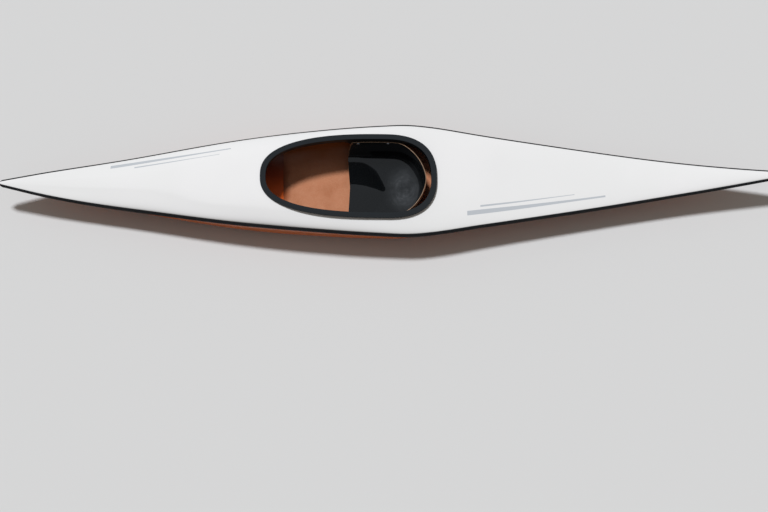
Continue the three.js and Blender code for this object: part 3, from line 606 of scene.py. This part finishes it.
def moulded_plastic():
    finish = Finish("moulded plastic", (0.016, 0.017, 0.019), 0.5)
    pits = finish.node("TexVoronoi", Vector=finish.coordinates, Scale=900.0).outputs["Distance"]
    haze = finish.between(finish.grain(25, 5), 0.4, 0.7, 0.42, 0.62)
    return finish.use(Roughness=haze, Normal=finish.bumped(pits, 0.3, 0.3 * mm))


# Stripes on the deck: x from and to, y from and to, and breadth
deck_stripes = [
    (330 * mm, 960 * mm, -172 * mm, -84 * mm, 22 * mm),
    (390 * mm, 820 * mm, -136 * mm, -76 * mm, 9 * mm),
    (-1290 * mm, -740 * mm, 78 * mm, 152 * mm, 16 * mm),
    (-1180 * mm, -790 * mm, 70 * mm, 122 * mm, 7 * mm),
]

orange = hull_gelcoat()
white = deck_gelcoat()
band_black = black_gelcoat("band gelcoat", (0.005, 0.005, 0.006), 0.3, 0.01)
rim_black = black_gelcoat("rim gelcoat", (0.006, 0.008, 0.01), 0.64, 0.03)
seat_black = seat_gelcoat()
seat_edge = cut_edge()
bare = bare_laminate()
mat_finish = strand_mat("strand mat")
floor_finish = strand_mat("floor mat", front=patch_from)
foam = closed_foam()
aluminium = brushed_metal("brushed aluminium", (0.72, 0.73, 0.74), 0.34, (8, 500, 500))
steel = brushed_metal("stainless steel", (0.5, 0.51, 0.52), 0.32, (160, 160, 160))
blacked_steel = brushed_metal("blacked steel", (0.2, 0.2, 0.21), 0.4, (160, 160, 160))
plastic = moulded_plastic()


# Shells


def across_hull(x, across, reach, inset):
    """A point of the hull: across runs from -1 to 1 and ends at reach, a share of the way up to the seam."""
    side = math.copysign(1, across)
    flat_share = 0.08
    if abs(across) > flat_share:
        return hull_point(x, side, (abs(across) - flat_share) / (1 - flat_share) * reach, inset)
    at = lines_at(x)
    return Vector((x, at["keel_half"] * across / flat_share, at["keel"] + inset))


def hull_shell():
    def point(u, v):
        x = lerp(-half_length, half_length, u)
        return across_hull(x, 2 * v - 1, 1, 0)

    piece = painted(smoothed(sheet("hull_shell", 108, 50, point)), orange, bare)
    edit(piece, face_outwards)
    modified(piece, "SOLIDIFY", thickness=skin, offset=-1, material_offset=1, material_offset_rim=1)
    return dressed(shaded(piece), "boat", replaces=("hull",))


def deck_shell():
    top_share = 0.94

    def point(u, v):
        x = lerp(-half_length, half_length, u)
        at = lines_at(x)
        across = 2 * v - 1
        side = math.copysign(1, across)
        share = abs(across) / top_share
        if share > 1:
            drop = (share - 1) / (1 / top_share - 1)
            return Vector((x, side * at["half"], lerp(at["shoulder"], at["seam"] + fit, drop)))
        y = at["half"] * math.sin(math.pi / 2 * share)
        return Vector((x, side * y, deck_height(x, y)))

    piece = painted(smoothed(sheet("deck_shell", 108, 50, point)), white, bare)
    modified(piece, "SOLIDIFY", thickness=skin, offset=-1, material_offset=1, material_offset_rim=1)
    cut(piece, cockpit_plug())
    return dressed(shaded(piece), "boat", replaces=("deck",))


def rim_point(angle, outward):
    c, s = math.cos(angle), math.sin(angle)
    reach = (rim_aft if c > 0 else rim_fore) - lip_width + outward
    x = rim_widest_at + math.copysign(reach * abs(c) ** (2 / rim_power), c)
    y = math.copysign((rim_half_width - lip_width + outward) * abs(s) ** (2 / rim_power), s)
    return x, y


def rim_half_at(x):
    reach = (rim_aft if x > rim_widest_at else rim_fore) - lip_width
    t = min(abs(x - rim_widest_at) / reach, 1)
    return (rim_half_width - lip_width) * (1 - t ** rim_power) ** (1 / rim_power)


def lip_top(x):
    return depth - rim_drop * ((x - rim_widest_at + rim_fore) / (rim_fore + rim_aft)) ** 2


def cockpit_plug():
    """An upright plug of the cockpit opening, which cuts the deck."""
    deselect()
    bpy.ops.mesh.primitive_cylinder_add(vertices=192, radius=1, depth=2)
    plug = bpy.context.object
    for vertex in plug.data.vertices:
        x, y = rim_point(math.atan2(vertex.co.y, vertex.co.x), rim_wall + fit)
        vertex.co = Vector((x, y, depth * (1 + vertex.co.z)))
    return plug


def hanger_share(x):
    start = smoothstep(x, seat_front, seat_front + hanger_end_ramp)
    return start * (1 - smoothstep(x, seat_centre, seat_centre + hanger_end_ramp))


def cockpit_rim():
    """The rim's closed profile, carried round the opening."""
    def top(x, y):
        return lip_top(x)

    def flange(x, y):
        return deck_height(x, y, skin) - bond_line

    def skirt(x, y):
        return lerp(flange(x, y) - rim_skirt, lip_top(x) - hanger_depth, hanger_share(x))

    def edge_foot(x, y):
        return min(max(lip_top(x) - lip_edge, deck_height(x, y) + lip_room), under_lip(x, y))

    def raised(line, rise):
        return lambda x, y: line(x, y) + rise

    under_lip = raised(top, -lip_thickness)
    flange_foot = raised(flange, -rim_wall)
    corner = 0.9 * mm
    lip_inside = lip_width - lip_thickness
    flange_edge = rim_wall + rim_flange
    # How far each point stands out from the opening, and its height
    profile = [
        (0, raised(top, -3 * corner)), (corner * 0.4, raised(top, -corner)), (corner * 1.6, top),
        (lip_width * 0.5, top), (lip_width - 2.6 * corner, top),
        (lip_width - corner * 0.6, raised(top, -corner * 0.6)), (lip_width, raised(top, -lip_thickness / 2)),
        (lip_width, raised(edge_foot, corner * 0.6)),
        (lip_width - lip_thickness / 2, edge_foot), (lip_inside, raised(edge_foot, corner * 0.6)),
        (lip_inside - corner, under_lip), (rim_wall + 4 * corner, under_lip),
        (rim_wall + corner * 1.2, raised(under_lip, -corner * 0.3)), (rim_wall, raised(under_lip, -1.8 * corner)),
        (rim_wall, raised(flange, corner)), (rim_wall + corner, flange), (flange_edge, flange),
        (flange_edge, flange_foot), (rim_wall + corner, flange_foot), (rim_wall, raised(flange_foot, -corner)),
        (rim_wall, raised(skirt, corner)), (rim_wall - corner, skirt), (corner, skirt), (0, raised(skirt, corner)),
        (0, lambda x, y: lerp(skirt(x, y), top(x, y), 0.5)),
    ]

    def point(u, v):
        out, height = profile[round(v * len(profile)) % len(profile)]
        x, y = rim_point(2 * math.pi * u, out)
        return Vector((x, y, height(x, y)))

    piece = welded(sheet("coaming", 144, len(profile), point), 0.005 * mm)
    smoothed(piece)
    return dressed(shaded(painted(piece, rim_black), 50), "boat", replaces=("cockpit_rim",))


def rubbing_band(name, side):
    step = 2 * mm
    tip_share = 0.002

    def point(u, v):
        x = lerp(-half_length, half_length, u)
        at = lines_at(x)
        slope = (lines_at(x + step)["half"] - lines_at(x - step)["half"]) / (2 * step)
        normal = Vector((-slope, 1)).normalized()
        angle = 2 * math.pi * v
        out = max(math.cos(angle), 0) ** (2 / band_power) * band_thickness
        up = math.copysign(abs(math.sin(angle)) ** (2 / band_power), math.sin(angle)) * at["band"] / 2
        end = smoothstep(abs(u - 0.5), 0.5 - tip_share, 0.5)
        x += normal.x * out + math.copysign(end * band_thickness, u - 0.5)
        y = (at["half"] + fit + normal.y * out) * (1 - end) + fit / 2 * end
        return Vector((x, side * y, at["seam"] + up))

    piece = capped(welded(sheet(f"{name}_band", 220, 28, point)))
    return dressed(shaded(painted(piece, band_black), 50), "boat", replaces=(f"rubbing_band_{name}",))


def seam_tape(name, side):
    tries = 24
    longest_step = 0.1

    def point(u, v):
        x = lerp(-tape_reach, tape_reach, u)
        at = lines_at(x)
        top = min(at["seam"] + tape_height / 2, at["shoulder"] - bond_line)
        z = lerp(at["seam"] - tape_height / 2, top, v)
        y = at["half"] - skin - fit
        if z < at["seam"]:
            share = 1.0
            for _ in range(tries):
                trial = hull_point(x, 1, share, skin + fit)
                share -= clamp((trial.z - z) / (at["seam"] - at["keel"]), -longest_step, longest_step)
            y = hull_point(x, 1, share, skin + fit).y
        return Vector((x, side * y, z))

    piece = sheet(f"{name}_joint_tape", 96, 8, point)
    modified(piece, "SOLIDIFY", thickness=tape_thickness, offset=-side, use_rim=True)
    return dressed(shaded(painted(piece, mat_finish)), "boat", replaces=(f"seam_tape_{name}",))


def floor_mat():
    """A laminate patch over the cockpit floor, with a slightly ragged edge."""
    def point(u, v):
        ragged = patch_raggedness * noise.noise(Vector((v * 18, 0, 3.1))) * (1 if u < 0.5 else 0)
        x = lerp(patch_from + ragged, patch_to, u)
        across = 2 * v - 1
        edge = patch_share + patch_waver * noise.noise(Vector((u * 26, math.copysign(1, across), 0.7)))
        return across_hull(x, across, edge, skin + fit)

    piece = sheet("floor_mat", 64, 64, point)
    modified(piece, "SOLIDIFY", thickness=patch_thickness, offset=1)
    return dressed(shaded(painted(piece, floor_finish)), "boat", replaces=("floor_patch",))


# Seat


def wing_top(x):
    return lip_top(x) - wing_drop


def seat_half_at(x):
    return rim_half_at(x) - seat_clearance - seat_wall


def pan_at(x):
    return lerp(pan_front_height, pan_height, smoothstep(x, seat_front, seat_centre))


def ridge_at(x, y):
    """The ridge between the thighs: its crest sinks to the pan, and its foot dies out into it."""
    along = clamp((x - seat_front) / (ridge_end - seat_front), 0, 2)
    above = ridge_height * (1 - along ** 2 - math.hypot(y, ridge_crest) / ridge_half_width)
    return (above + math.hypot(above, ridge_foot)) / 2


def bucket_seat():
    trough, back, rows = 18, 40, 34
    count = 2 * trough + back
    row_crowding = 2.2
    back_full_from = 0.45

    def rib(x, direction, reach, top, power, share):
        angle = math.pi / 2 * share
        out = reach * math.sin(angle) ** (2 / power)
        up = 1 - max(math.cos(angle), 0) ** (2 / power)
        px, py = x + direction[0] * out, direction[1] * out
        ridge = ridge_at(px, py) * (1 - up)
        sweep = (1 - smoothstep(px, seat_front, seat_centre)) * (wing_sweep * up + ridge_sweep * ridge / ridge_height)
        low = pan_at(x)
        return Vector((px + sweep, py, low + (top - low) * up + ridge))

    def point(u, v):
        k = round(u * count)
        if k <= trough or k >= count - trough:
            side = -1 if k <= trough else 1
            x = lerp(seat_front, seat_centre, min(k, count - k) / trough)
            return rib(x, (0, side), seat_half_at(x), wing_top(x), side_power, v ** row_crowding)
        angle = math.pi * ((k - trough) / back - 0.5)
        c, s = math.cos(angle), math.sin(angle)
        rear, half = seat_rear - seat_centre - seat_wall, seat_half_at(seat_centre)
        power = seat_plan_power
        reach = (abs(c / rear) ** power + abs(s / half) ** power) ** (-1 / power)
        top = lerp(wing_top(seat_centre), back_height, smoothstep(c, 0, back_full_from))
        return rib(seat_centre, (c, s), reach, top, lerp(side_power, back_power, c), v ** row_crowding)

    piece = welded(sheet("bucket_seat", count, rows, point))
    smoothed(piece)
    edit(piece, face_outwards)
    facing = sum(p.normal.z * p.area for p in piece.data.polygons)
    painted(piece, seat_black, seat_edge)
    modified(piece, "SOLIDIFY", thickness=seat_wall, offset=-math.copysign(1, facing), material_offset_rim=1)
    modified(piece, "BEVEL", width=seat_edge_round, segments=2, limit_method="ANGLE", angle_limit=math.radians(50))
    return dressed(shaded(piece, 40), "boat", replaces=("seat",))


# Fixings. Their sizes are in millimetres and mostly the CAD model's. Each is modelled once about the upright axis,
# and its copies are set in place. A "side" or an "end" is half a breadth or a length

bolt_radius = 3
bolt_hole = 3.3
thread_root = 0.87
washer_radius = 9
washer_thickness = 1.6
nut_radius = 5.77
nut_flat = 5.2
nut_thickness = 5

rail_out = 65
rail_end = 130
rail_side = 12
rail_height = 12
rail_wall = 2
rail_slot_side = 4
screw_at = 116
screw_hole = 2.3

board_lean = math.radians(20)
board_side = 107
board_foot = 5
board_back = 0.3
board_face = 9.3
board_top_corner = 22
board_foot_corner = 11

bracket_heel = 52
bracket_foot = 12.3
bracket_foot_top = 15.3
bracket_thickness = 3
bracket_corner = 5
upright_share = 0.72
rivet_shares = (("lower", 0.2), ("upper", 0.56))
rivet_radius = 2.5
rivet_hole = 2.8

clamp_at = -30
clamp_head = 7
washer_foot = 15.6
wing_nut_foot = 17.5


def drawn_out(by, stretch, **settings):
    """Steps that draw the selected face out and resize it."""
    return [
        (bpy.ops.mesh.extrude_region_move, {"TRANSFORM_OT_translate": {"value": by}}),
        (bpy.ops.transform.resize, {"value": stretch, **settings}),
    ]


def disc_drawn_up(name, rings, corners=32):
    """A round or many-sided piece drawn up from a disc. Each ring is a radius and a height."""
    rings = [(radius * mm, height * mm) for radius, height in rings]
    radius, foot = rings[0]
    deselect()
    bpy.ops.mesh.primitive_circle_add(vertices=corners, radius=radius, fill_type="NGON")
    piece = bpy.context.object
    piece.name = name
    steps = [(bpy.ops.transform.translate, {"value": (0, 0, foot)})]
    for (before, low), (after, high) in zip(rings, rings[1:]):
        share = after / before
        steps += drawn_out((0, 0, high - low), (share, share, 1), center_override=(0, 0, high))
    edit(piece, *steps, select_whole, face_outwards)
    return piece


def bar(radius, low, high, corners=32):
    return disc_drawn_up("bar", [(radius, low), (radius, high)], corners)


def threaded(low, high, pitch=1.2):
    """Rings of a bolt's thread, with a short lead at its end."""
    turns = int((high - low) / pitch)
    rings = [(bolt_radius * (1 if k % 2 else thread_root), low + pitch * k / 2) for k in range(2 * turns)]
    return rings + [(bolt_radius * 0.8, high)]


def block(name, low, high):
    deselect()
    low, high = (Vector([size * mm for size in corner]) for corner in (low, high))
    bpy.ops.mesh.primitive_cube_add(size=1, location=(low + high) / 2, scale=high - low)
    bpy.ops.object.transform_apply(location=True, rotation=True, scale=True)
    piece = bpy.context.object
    piece.name = name
    return piece


def shift(x=0.0, y=0.0, z=0.0):
    return Matrix.Translation((x * mm, y * mm, z * mm))


def moved(piece, place):
    """Carries a piece to a place and leaves it there unturned and unscaled."""
    select_only(piece)
    piece.matrix_world = place
    bpy.ops.object.transform_apply(location=True, rotation=True, scale=True)
    return piece


def eased(piece, width, segments=2):
    """Rounds the sharp edges of a piece."""
    modified(piece, "BEVEL", width=width * mm, segments=segments, limit_method="ANGLE", angle_limit=math.radians(40))
    return shaded(piece, 40)


def corners_rounded(piece, radius, segments, axis, chosen):
    """Rounds the edges that run along an axis and whose two ends pass a test."""
    def picked(edge):
        a, b = (piece.data.vertices[k].co for k in edge.vertices)
        return abs(a[axis] - b[axis]) > 1 * mm and chosen(a) and chosen(b)

    edit(piece, (bpy.ops.mesh.bevel, {"offset": radius * mm, "segments": segments, "affect": "EDGES"}),
         kind="EDGE", chosen=picked)
    return piece


def copies_of(pattern, finish, body, places):
    """Copies of a pattern, each for one CAD node. With no body named, each rides on its node's own."""
    painted(pattern, finish)
    for node, place in places:
        piece = pattern.copy()
        piece.data = pattern.data.copy()
        bpy.context.collection.objects.link(piece)
        piece.name = f"{node}_shown"
        dressed(moved(piece, place), body or node, replaces=(node,))
    bpy.data.objects.remove(pattern)


def flat_washer(name):
    return cut(disc_drawn_up(name, [(washer_radius, 0), (washer_radius, washer_thickness)], 40), bar(bolt_hole, -1, 3))


def seat_fixings():
    def places(kind, head):
        """Turned outwards. A fixing's zero lies a head's height out from the inner face of its CAD node."""
        found = []
        for name, side in both_sides:
            turn = Matrix.Rotation(-side * math.pi / 2, 4, "X")
            for end in ("front", "rear"):
                node = f"seat_{kind}_{name}_{end}"
                low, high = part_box(node)
                middle = (low + high) / 2
                y = (low.y if side > 0 else high.y) + side * head * mm
                found.append((node, Matrix.Translation((middle.x, y, middle.z)) @ turn))
        return found

    head = 4
    dome = [(3.2, -head), (4.6, -3.8), (5.9, -3.3), (7, -2.5), (7.7, -1.5), (8, -0.4), (8, 0)]
    shank = [(bolt_radius, 0), (bolt_radius, 6)] + threaded(6.2, 21)
    socket = bar(2.3, -4.6, -1.6, 6)
    bolt = eased(cut(disc_drawn_up("seat_bolt", dome + shank), socket), 0.15, 1)
    washer = eased(flat_washer("seat_washer"), 0.15, 1)
    chamfered = [(nut_flat, 0), (nut_radius, 0.4), (nut_radius, 4.6), (nut_flat, nut_thickness)]
    nut = eased(cut(disc_drawn_up("seat_nut", chamfered, 6), bar(bolt_hole, -1, 6)), 0.15, 1)
    copies_of(bolt, blacked_steel, "boat", places("bolt", head))
    copies_of(washer, steel, "boat", places("washer", 0))
    copies_of(nut, steel, "boat", places("nut", 0))


# Footrest, in its rails' own frame: X runs along the rails and Z stands on them


def rails_frame():
    bow_to_stern = Vector(frame["record"]["behaviour"]["joints"][0]["axis"]).normalized()
    slope = math.asin(-bow_to_stern.z)
    low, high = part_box("footrest_rail_port")
    middle = (low + high) / 2
    up = Vector((math.sin(slope), 0, math.cos(slope)))
    origin = Vector((middle.x, 0, middle.z)) - up * (rail_height / 2 * mm)
    return Matrix.Translation(origin) @ Matrix.Rotation(slope, 4, "Y"), slope


rails, rail_slope = rails_frame()
leaning_face = shift(z=bracket_foot_top) @ Matrix.Rotation(-board_lean, 4, "Y")
along_x = Matrix.Rotation(math.pi / 2, 4, "Y")


def height_of_board():
    low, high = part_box("footrest_board")
    lean = board_lean - rail_slope
    return ((high.z - low.z) / mm - (board_face - board_back) * math.sin(lean)) / math.cos(lean)


board_height = height_of_board()


def on_each_rail(kind, x=0.0, z=0.0):
    return [(f"{kind}_{name}", rails @ shift(x, side * rail_out, z)) for name, side in both_sides]


def footrest_rails():
    beyond = rail_end + 10
    inner = rail_side - rail_wall
    rail = cut(
        block("footrest_rail", (-rail_end, -rail_side, 0), (rail_end, rail_side, rail_height)),
        block("hollow", (-beyond, -inner, rail_wall), (beyond, inner, rail_height - rail_wall)),
        block("slot", (-beyond, -rail_slot_side, 9), (beyond, rail_slot_side, 14)),
        *(moved(bar(screw_hole, -2, 4), shift(x)) for x in (-screw_at, screw_at)),
    )
    copies_of(eased(rail, 0.35), aluminium, "boat", on_each_rail("footrest_rail"))

    pointed = [(0.4, -4.7), (2, -2.7), (2, 2.3)]
    head = [(4, 2.3), (4, 3), (3.4, 3.8), (2.2, 4.3)]
    screw = cut(
        disc_drawn_up("rail_screw", pointed + head),
        block("slot", (-2.2, -0.45, 3.1), (2.2, 0.45, 5)),
        block("slot", (-0.45, -2.2, 3.1), (0.45, 2.2, 5)),
    )
    places = [
        (f"rail_screw_{name}_{end}", rails @ shift(x, side * rail_out))
        for name, side in both_sides for end, x in (("front", -screw_at), ("rear", screw_at))
    ]
    copies_of(eased(screw, 0.12, 1), steel, "boat", places)


def footrest_board():
    board = block("footrest_board_shown", (board_back, -board_side, board_foot),
                  (board_face, board_side, board_foot + board_height))
    corners_rounded(board, board_top_corner, 10, 0, lambda corner: corner.z > 20 * mm)
    corners_rounded(board, board_foot_corner, 6, 0, lambda corner: corner.z < 6 * mm)
    eased(board, 1.4, 3)
    for _, side in both_sides:
        for _, share in rivet_shares:
            sink = disc_drawn_up("countersink", [(rivet_hole, -1), (rivet_hole, 5.7), (6.6, 9.31), (6.6, 12)])
            cut(board, moved(sink, shift(y=side * rail_out, z=board_height * share) @ along_x))
    moved(shaded(painted(board, plastic), 40), rails @ leaning_face)
    dressed(board, "footrest", replaces=("footrest_board",))


def footrest_brackets():
    foot = block("foot", (-bracket_heel, -rail_side, bracket_foot), (0.5, rail_side, bracket_foot_top))
    upright = block("upright", (-bracket_thickness, -rail_side, -2.6), (0, rail_side, board_height * upright_share))
    corners_rounded(foot, bracket_corner, 5, 2, lambda corner: corner.x < -20 * mm)
    corners_rounded(upright, bracket_corner, 5, 0, lambda corner: corner.z > 20 * mm)
    bracket = joined(foot, moved(upright, leaning_face))
    cut(bracket, moved(bar(bolt_hole, 0, 30), shift(clamp_at)))
    for _, share in rivet_shares:
        cut(bracket, moved(bar(rivet_hole, -8, 4), leaning_face @ shift(z=board_height * share) @ along_x))
    copies_of(eased(bracket, 0.4), aluminium, "footrest", on_each_rail("footrest_bracket"))

    tail = [(2.4, -5.9), (4.1, -5.3), (5.2, -4.3), (5.5, -3.3)]
    shank = [(rivet_radius, -3.3), (rivet_radius, 6)]
    rivet = eased(disc_drawn_up("footrest_rivet", tail + shank + [(6, 9)]), 0.15, 1)
    places = [
        (f"footrest_rivet_{name}_{end}",
         rails @ shift(y=side * rail_out) @ leaning_face @ shift(z=board_height * share) @ along_x)
        for name, side in both_sides for end, share in rivet_shares
    ]
    copies_of(rivet, steel, "footrest", places)


def wing():
    """One wing of a wing nut: drawn out of the hub, up and away from it."""
    steps = []
    for out, up, tall in ((3, 0.8, 1), (3, 2, 1.12), (3, 2.2, 1.1), (1.8, 1.2, 0.5)):
        steps += drawn_out((0, out * mm, up * mm), (1, 1, tall))
    piece = block("wing", (-1.3, 3.5, 2.4), (1.3, 6, 7.6))
    edit(piece, *steps, kind="FACE", chosen=lambda face: face.normal.y > 0.9)
    return smoothed(piece, 2)


def footrest_clamps():
    bolt = joined(
        block("clamp_bolt", (-clamp_head, -clamp_head, 6.2), (clamp_head, clamp_head, 9.7)),
        disc_drawn_up("shank", [(bolt_radius, 8)] + threaded(16, 41.9)),
    )
    copies_of(eased(bolt, 0.2, 1), steel, "footrest", on_each_rail("clamp_bolt", clamp_at))

    washer = eased(flat_washer("clamp_washer"), 0.2, 1)
    copies_of(washer, steel, "footrest", on_each_rail("clamp_washer", clamp_at, washer_foot))

    hub = disc_drawn_up("wing_nut", [(6.3, 0), (6.5, 0.5), (6, 5), (5.3, 8)])
    nut = cut(joined(hub, wing(), moved(wing(), Matrix.Rotation(math.pi, 4, "Z"))), bar(bolt_hole, -2, 12))
    copies_of(eased(nut, 0.3), steel, None, on_each_rail("wing_nut", clamp_at, wing_nut_foot))


# Stage, light and camera


def seen_or_mirrored(finish):
    """One for what the eye, a mirror or clear resin sees, and nought for the light that a surface gives off."""
    path = finish.node("LightPath").outputs
    mirrored = finish.maths("MAXIMUM", path["Is Glossy Ray"], path["Is Transmission Ray"])
    return finish.maths("MAXIMUM", path["Is Camera Ray"], mirrored)


def floor():
    deselect()
    seen, giving_off = (0.66, 0.665, 0.67), (0.19, 0.19, 0.19)
    bpy.ops.mesh.primitive_plane_add(size=60)
    ground = bpy.context.object
    ground.name = "studio_floor"
    finish = Finish("studio floor", (0.62, 0.63, 0.64), 0.95)
    tint = finish.blend(seen_or_mirrored(finish), giving_off, seen)
    ground.data.materials.append(finish.use(Base_Color=tint, Specular_IOR_Level=0.0))


class Sky(Finish):
    """The studio's own light: brighter overhead than at the sides, and pale where it is seen or mirrored."""

    def __init__(self):
        self.world = bpy.data.worlds.new("studio")
        self.world.use_nodes = True
        self.tree = self.world.node_tree
        self.coordinates = self.tree.nodes.new("ShaderNodeTexCoord").outputs["Generated"]
        at_the_sides, overhead, as_seen = (0.16, 0.15, 0.14), (0.255, 0.235, 0.21), (0.52, 0.56, 0.6)
        light = self.blend(self.between(self.axes()["Z"], 0.0, 1.0), at_the_sides, overhead)
        colour = self.blend(seen_or_mirrored(self), light, as_seen)
        self.set(self.tree.nodes["Background"], {"Color": colour, "Strength": 1.0})


def lights():
    over_the_starboard_bow = (math.radians(-15.2), math.radians(-14.6), 0)
    bpy.ops.object.light_add(type="SUN", rotation=over_the_starboard_bow)
    key = bpy.context.object
    key.data.energy = 2.7
    key.data.color = (0.985, 1.0, 1.02)
    key.data.angle = math.radians(8)
    key.visible_glossy = False
    bpy.context.scene.world = Sky().world


# On the photograph's frame the bow lies 3 px left of the edge, and the boat's middle line 76.6 px above the middle
image_width = 768
scale_on_image = 4.54 * mm
bow_on_image = -3
height_on_image = 76.6
bow_tip = -1800 * mm
aim_height = 170 * mm
camera_elevation = math.radians(65)
camera_roll = math.radians(-0.54)
camera_distance = 9.0


def camera():
    target = Vector((bow_tip + (image_width / 2 - bow_on_image) * scale_on_image, 0, aim_height))
    back = Vector((0, -math.cos(camera_elevation), math.sin(camera_elevation)))
    bpy.ops.object.camera_add(location=target + back * camera_distance)
    eye = bpy.context.object
    eye.rotation_euler = ((-back).to_track_quat("-Z", "Y") @ Quaternion((0, 0, 1), camera_roll)).to_euler()
    eye.data.lens = eye.data.sensor_width * camera_distance / (image_width * scale_on_image)
    eye.data.shift_y = -height_on_image / image_width
    eye.data.clip_end = 100
    bpy.context.scene.camera = eye


hull_shell()
deck_shell()
cockpit_rim()
for side_name, side in both_sides:
    rubbing_band(side_name, side)
    seam_tape(side_name, side)
floor_mat()
bucket_seat()
seat_fixings()
footrest_rails()
footrest_board()
footrest_brackets()
footrest_clamps()

# CAD pieces that keep their shape
for name, finish in (
    ("rail_bed_port", mat_finish), ("rail_bed_starboard", mat_finish),
    ("bow_buoyancy_block", foam), ("stern_buoyancy_block", foam),
):
    materials = frame["nodes"][name].data.materials
    materials.clear()
    materials.append(finish)

floor()
lights()
camera()
bpy.context.scene.view_settings.view_transform = "Standard"
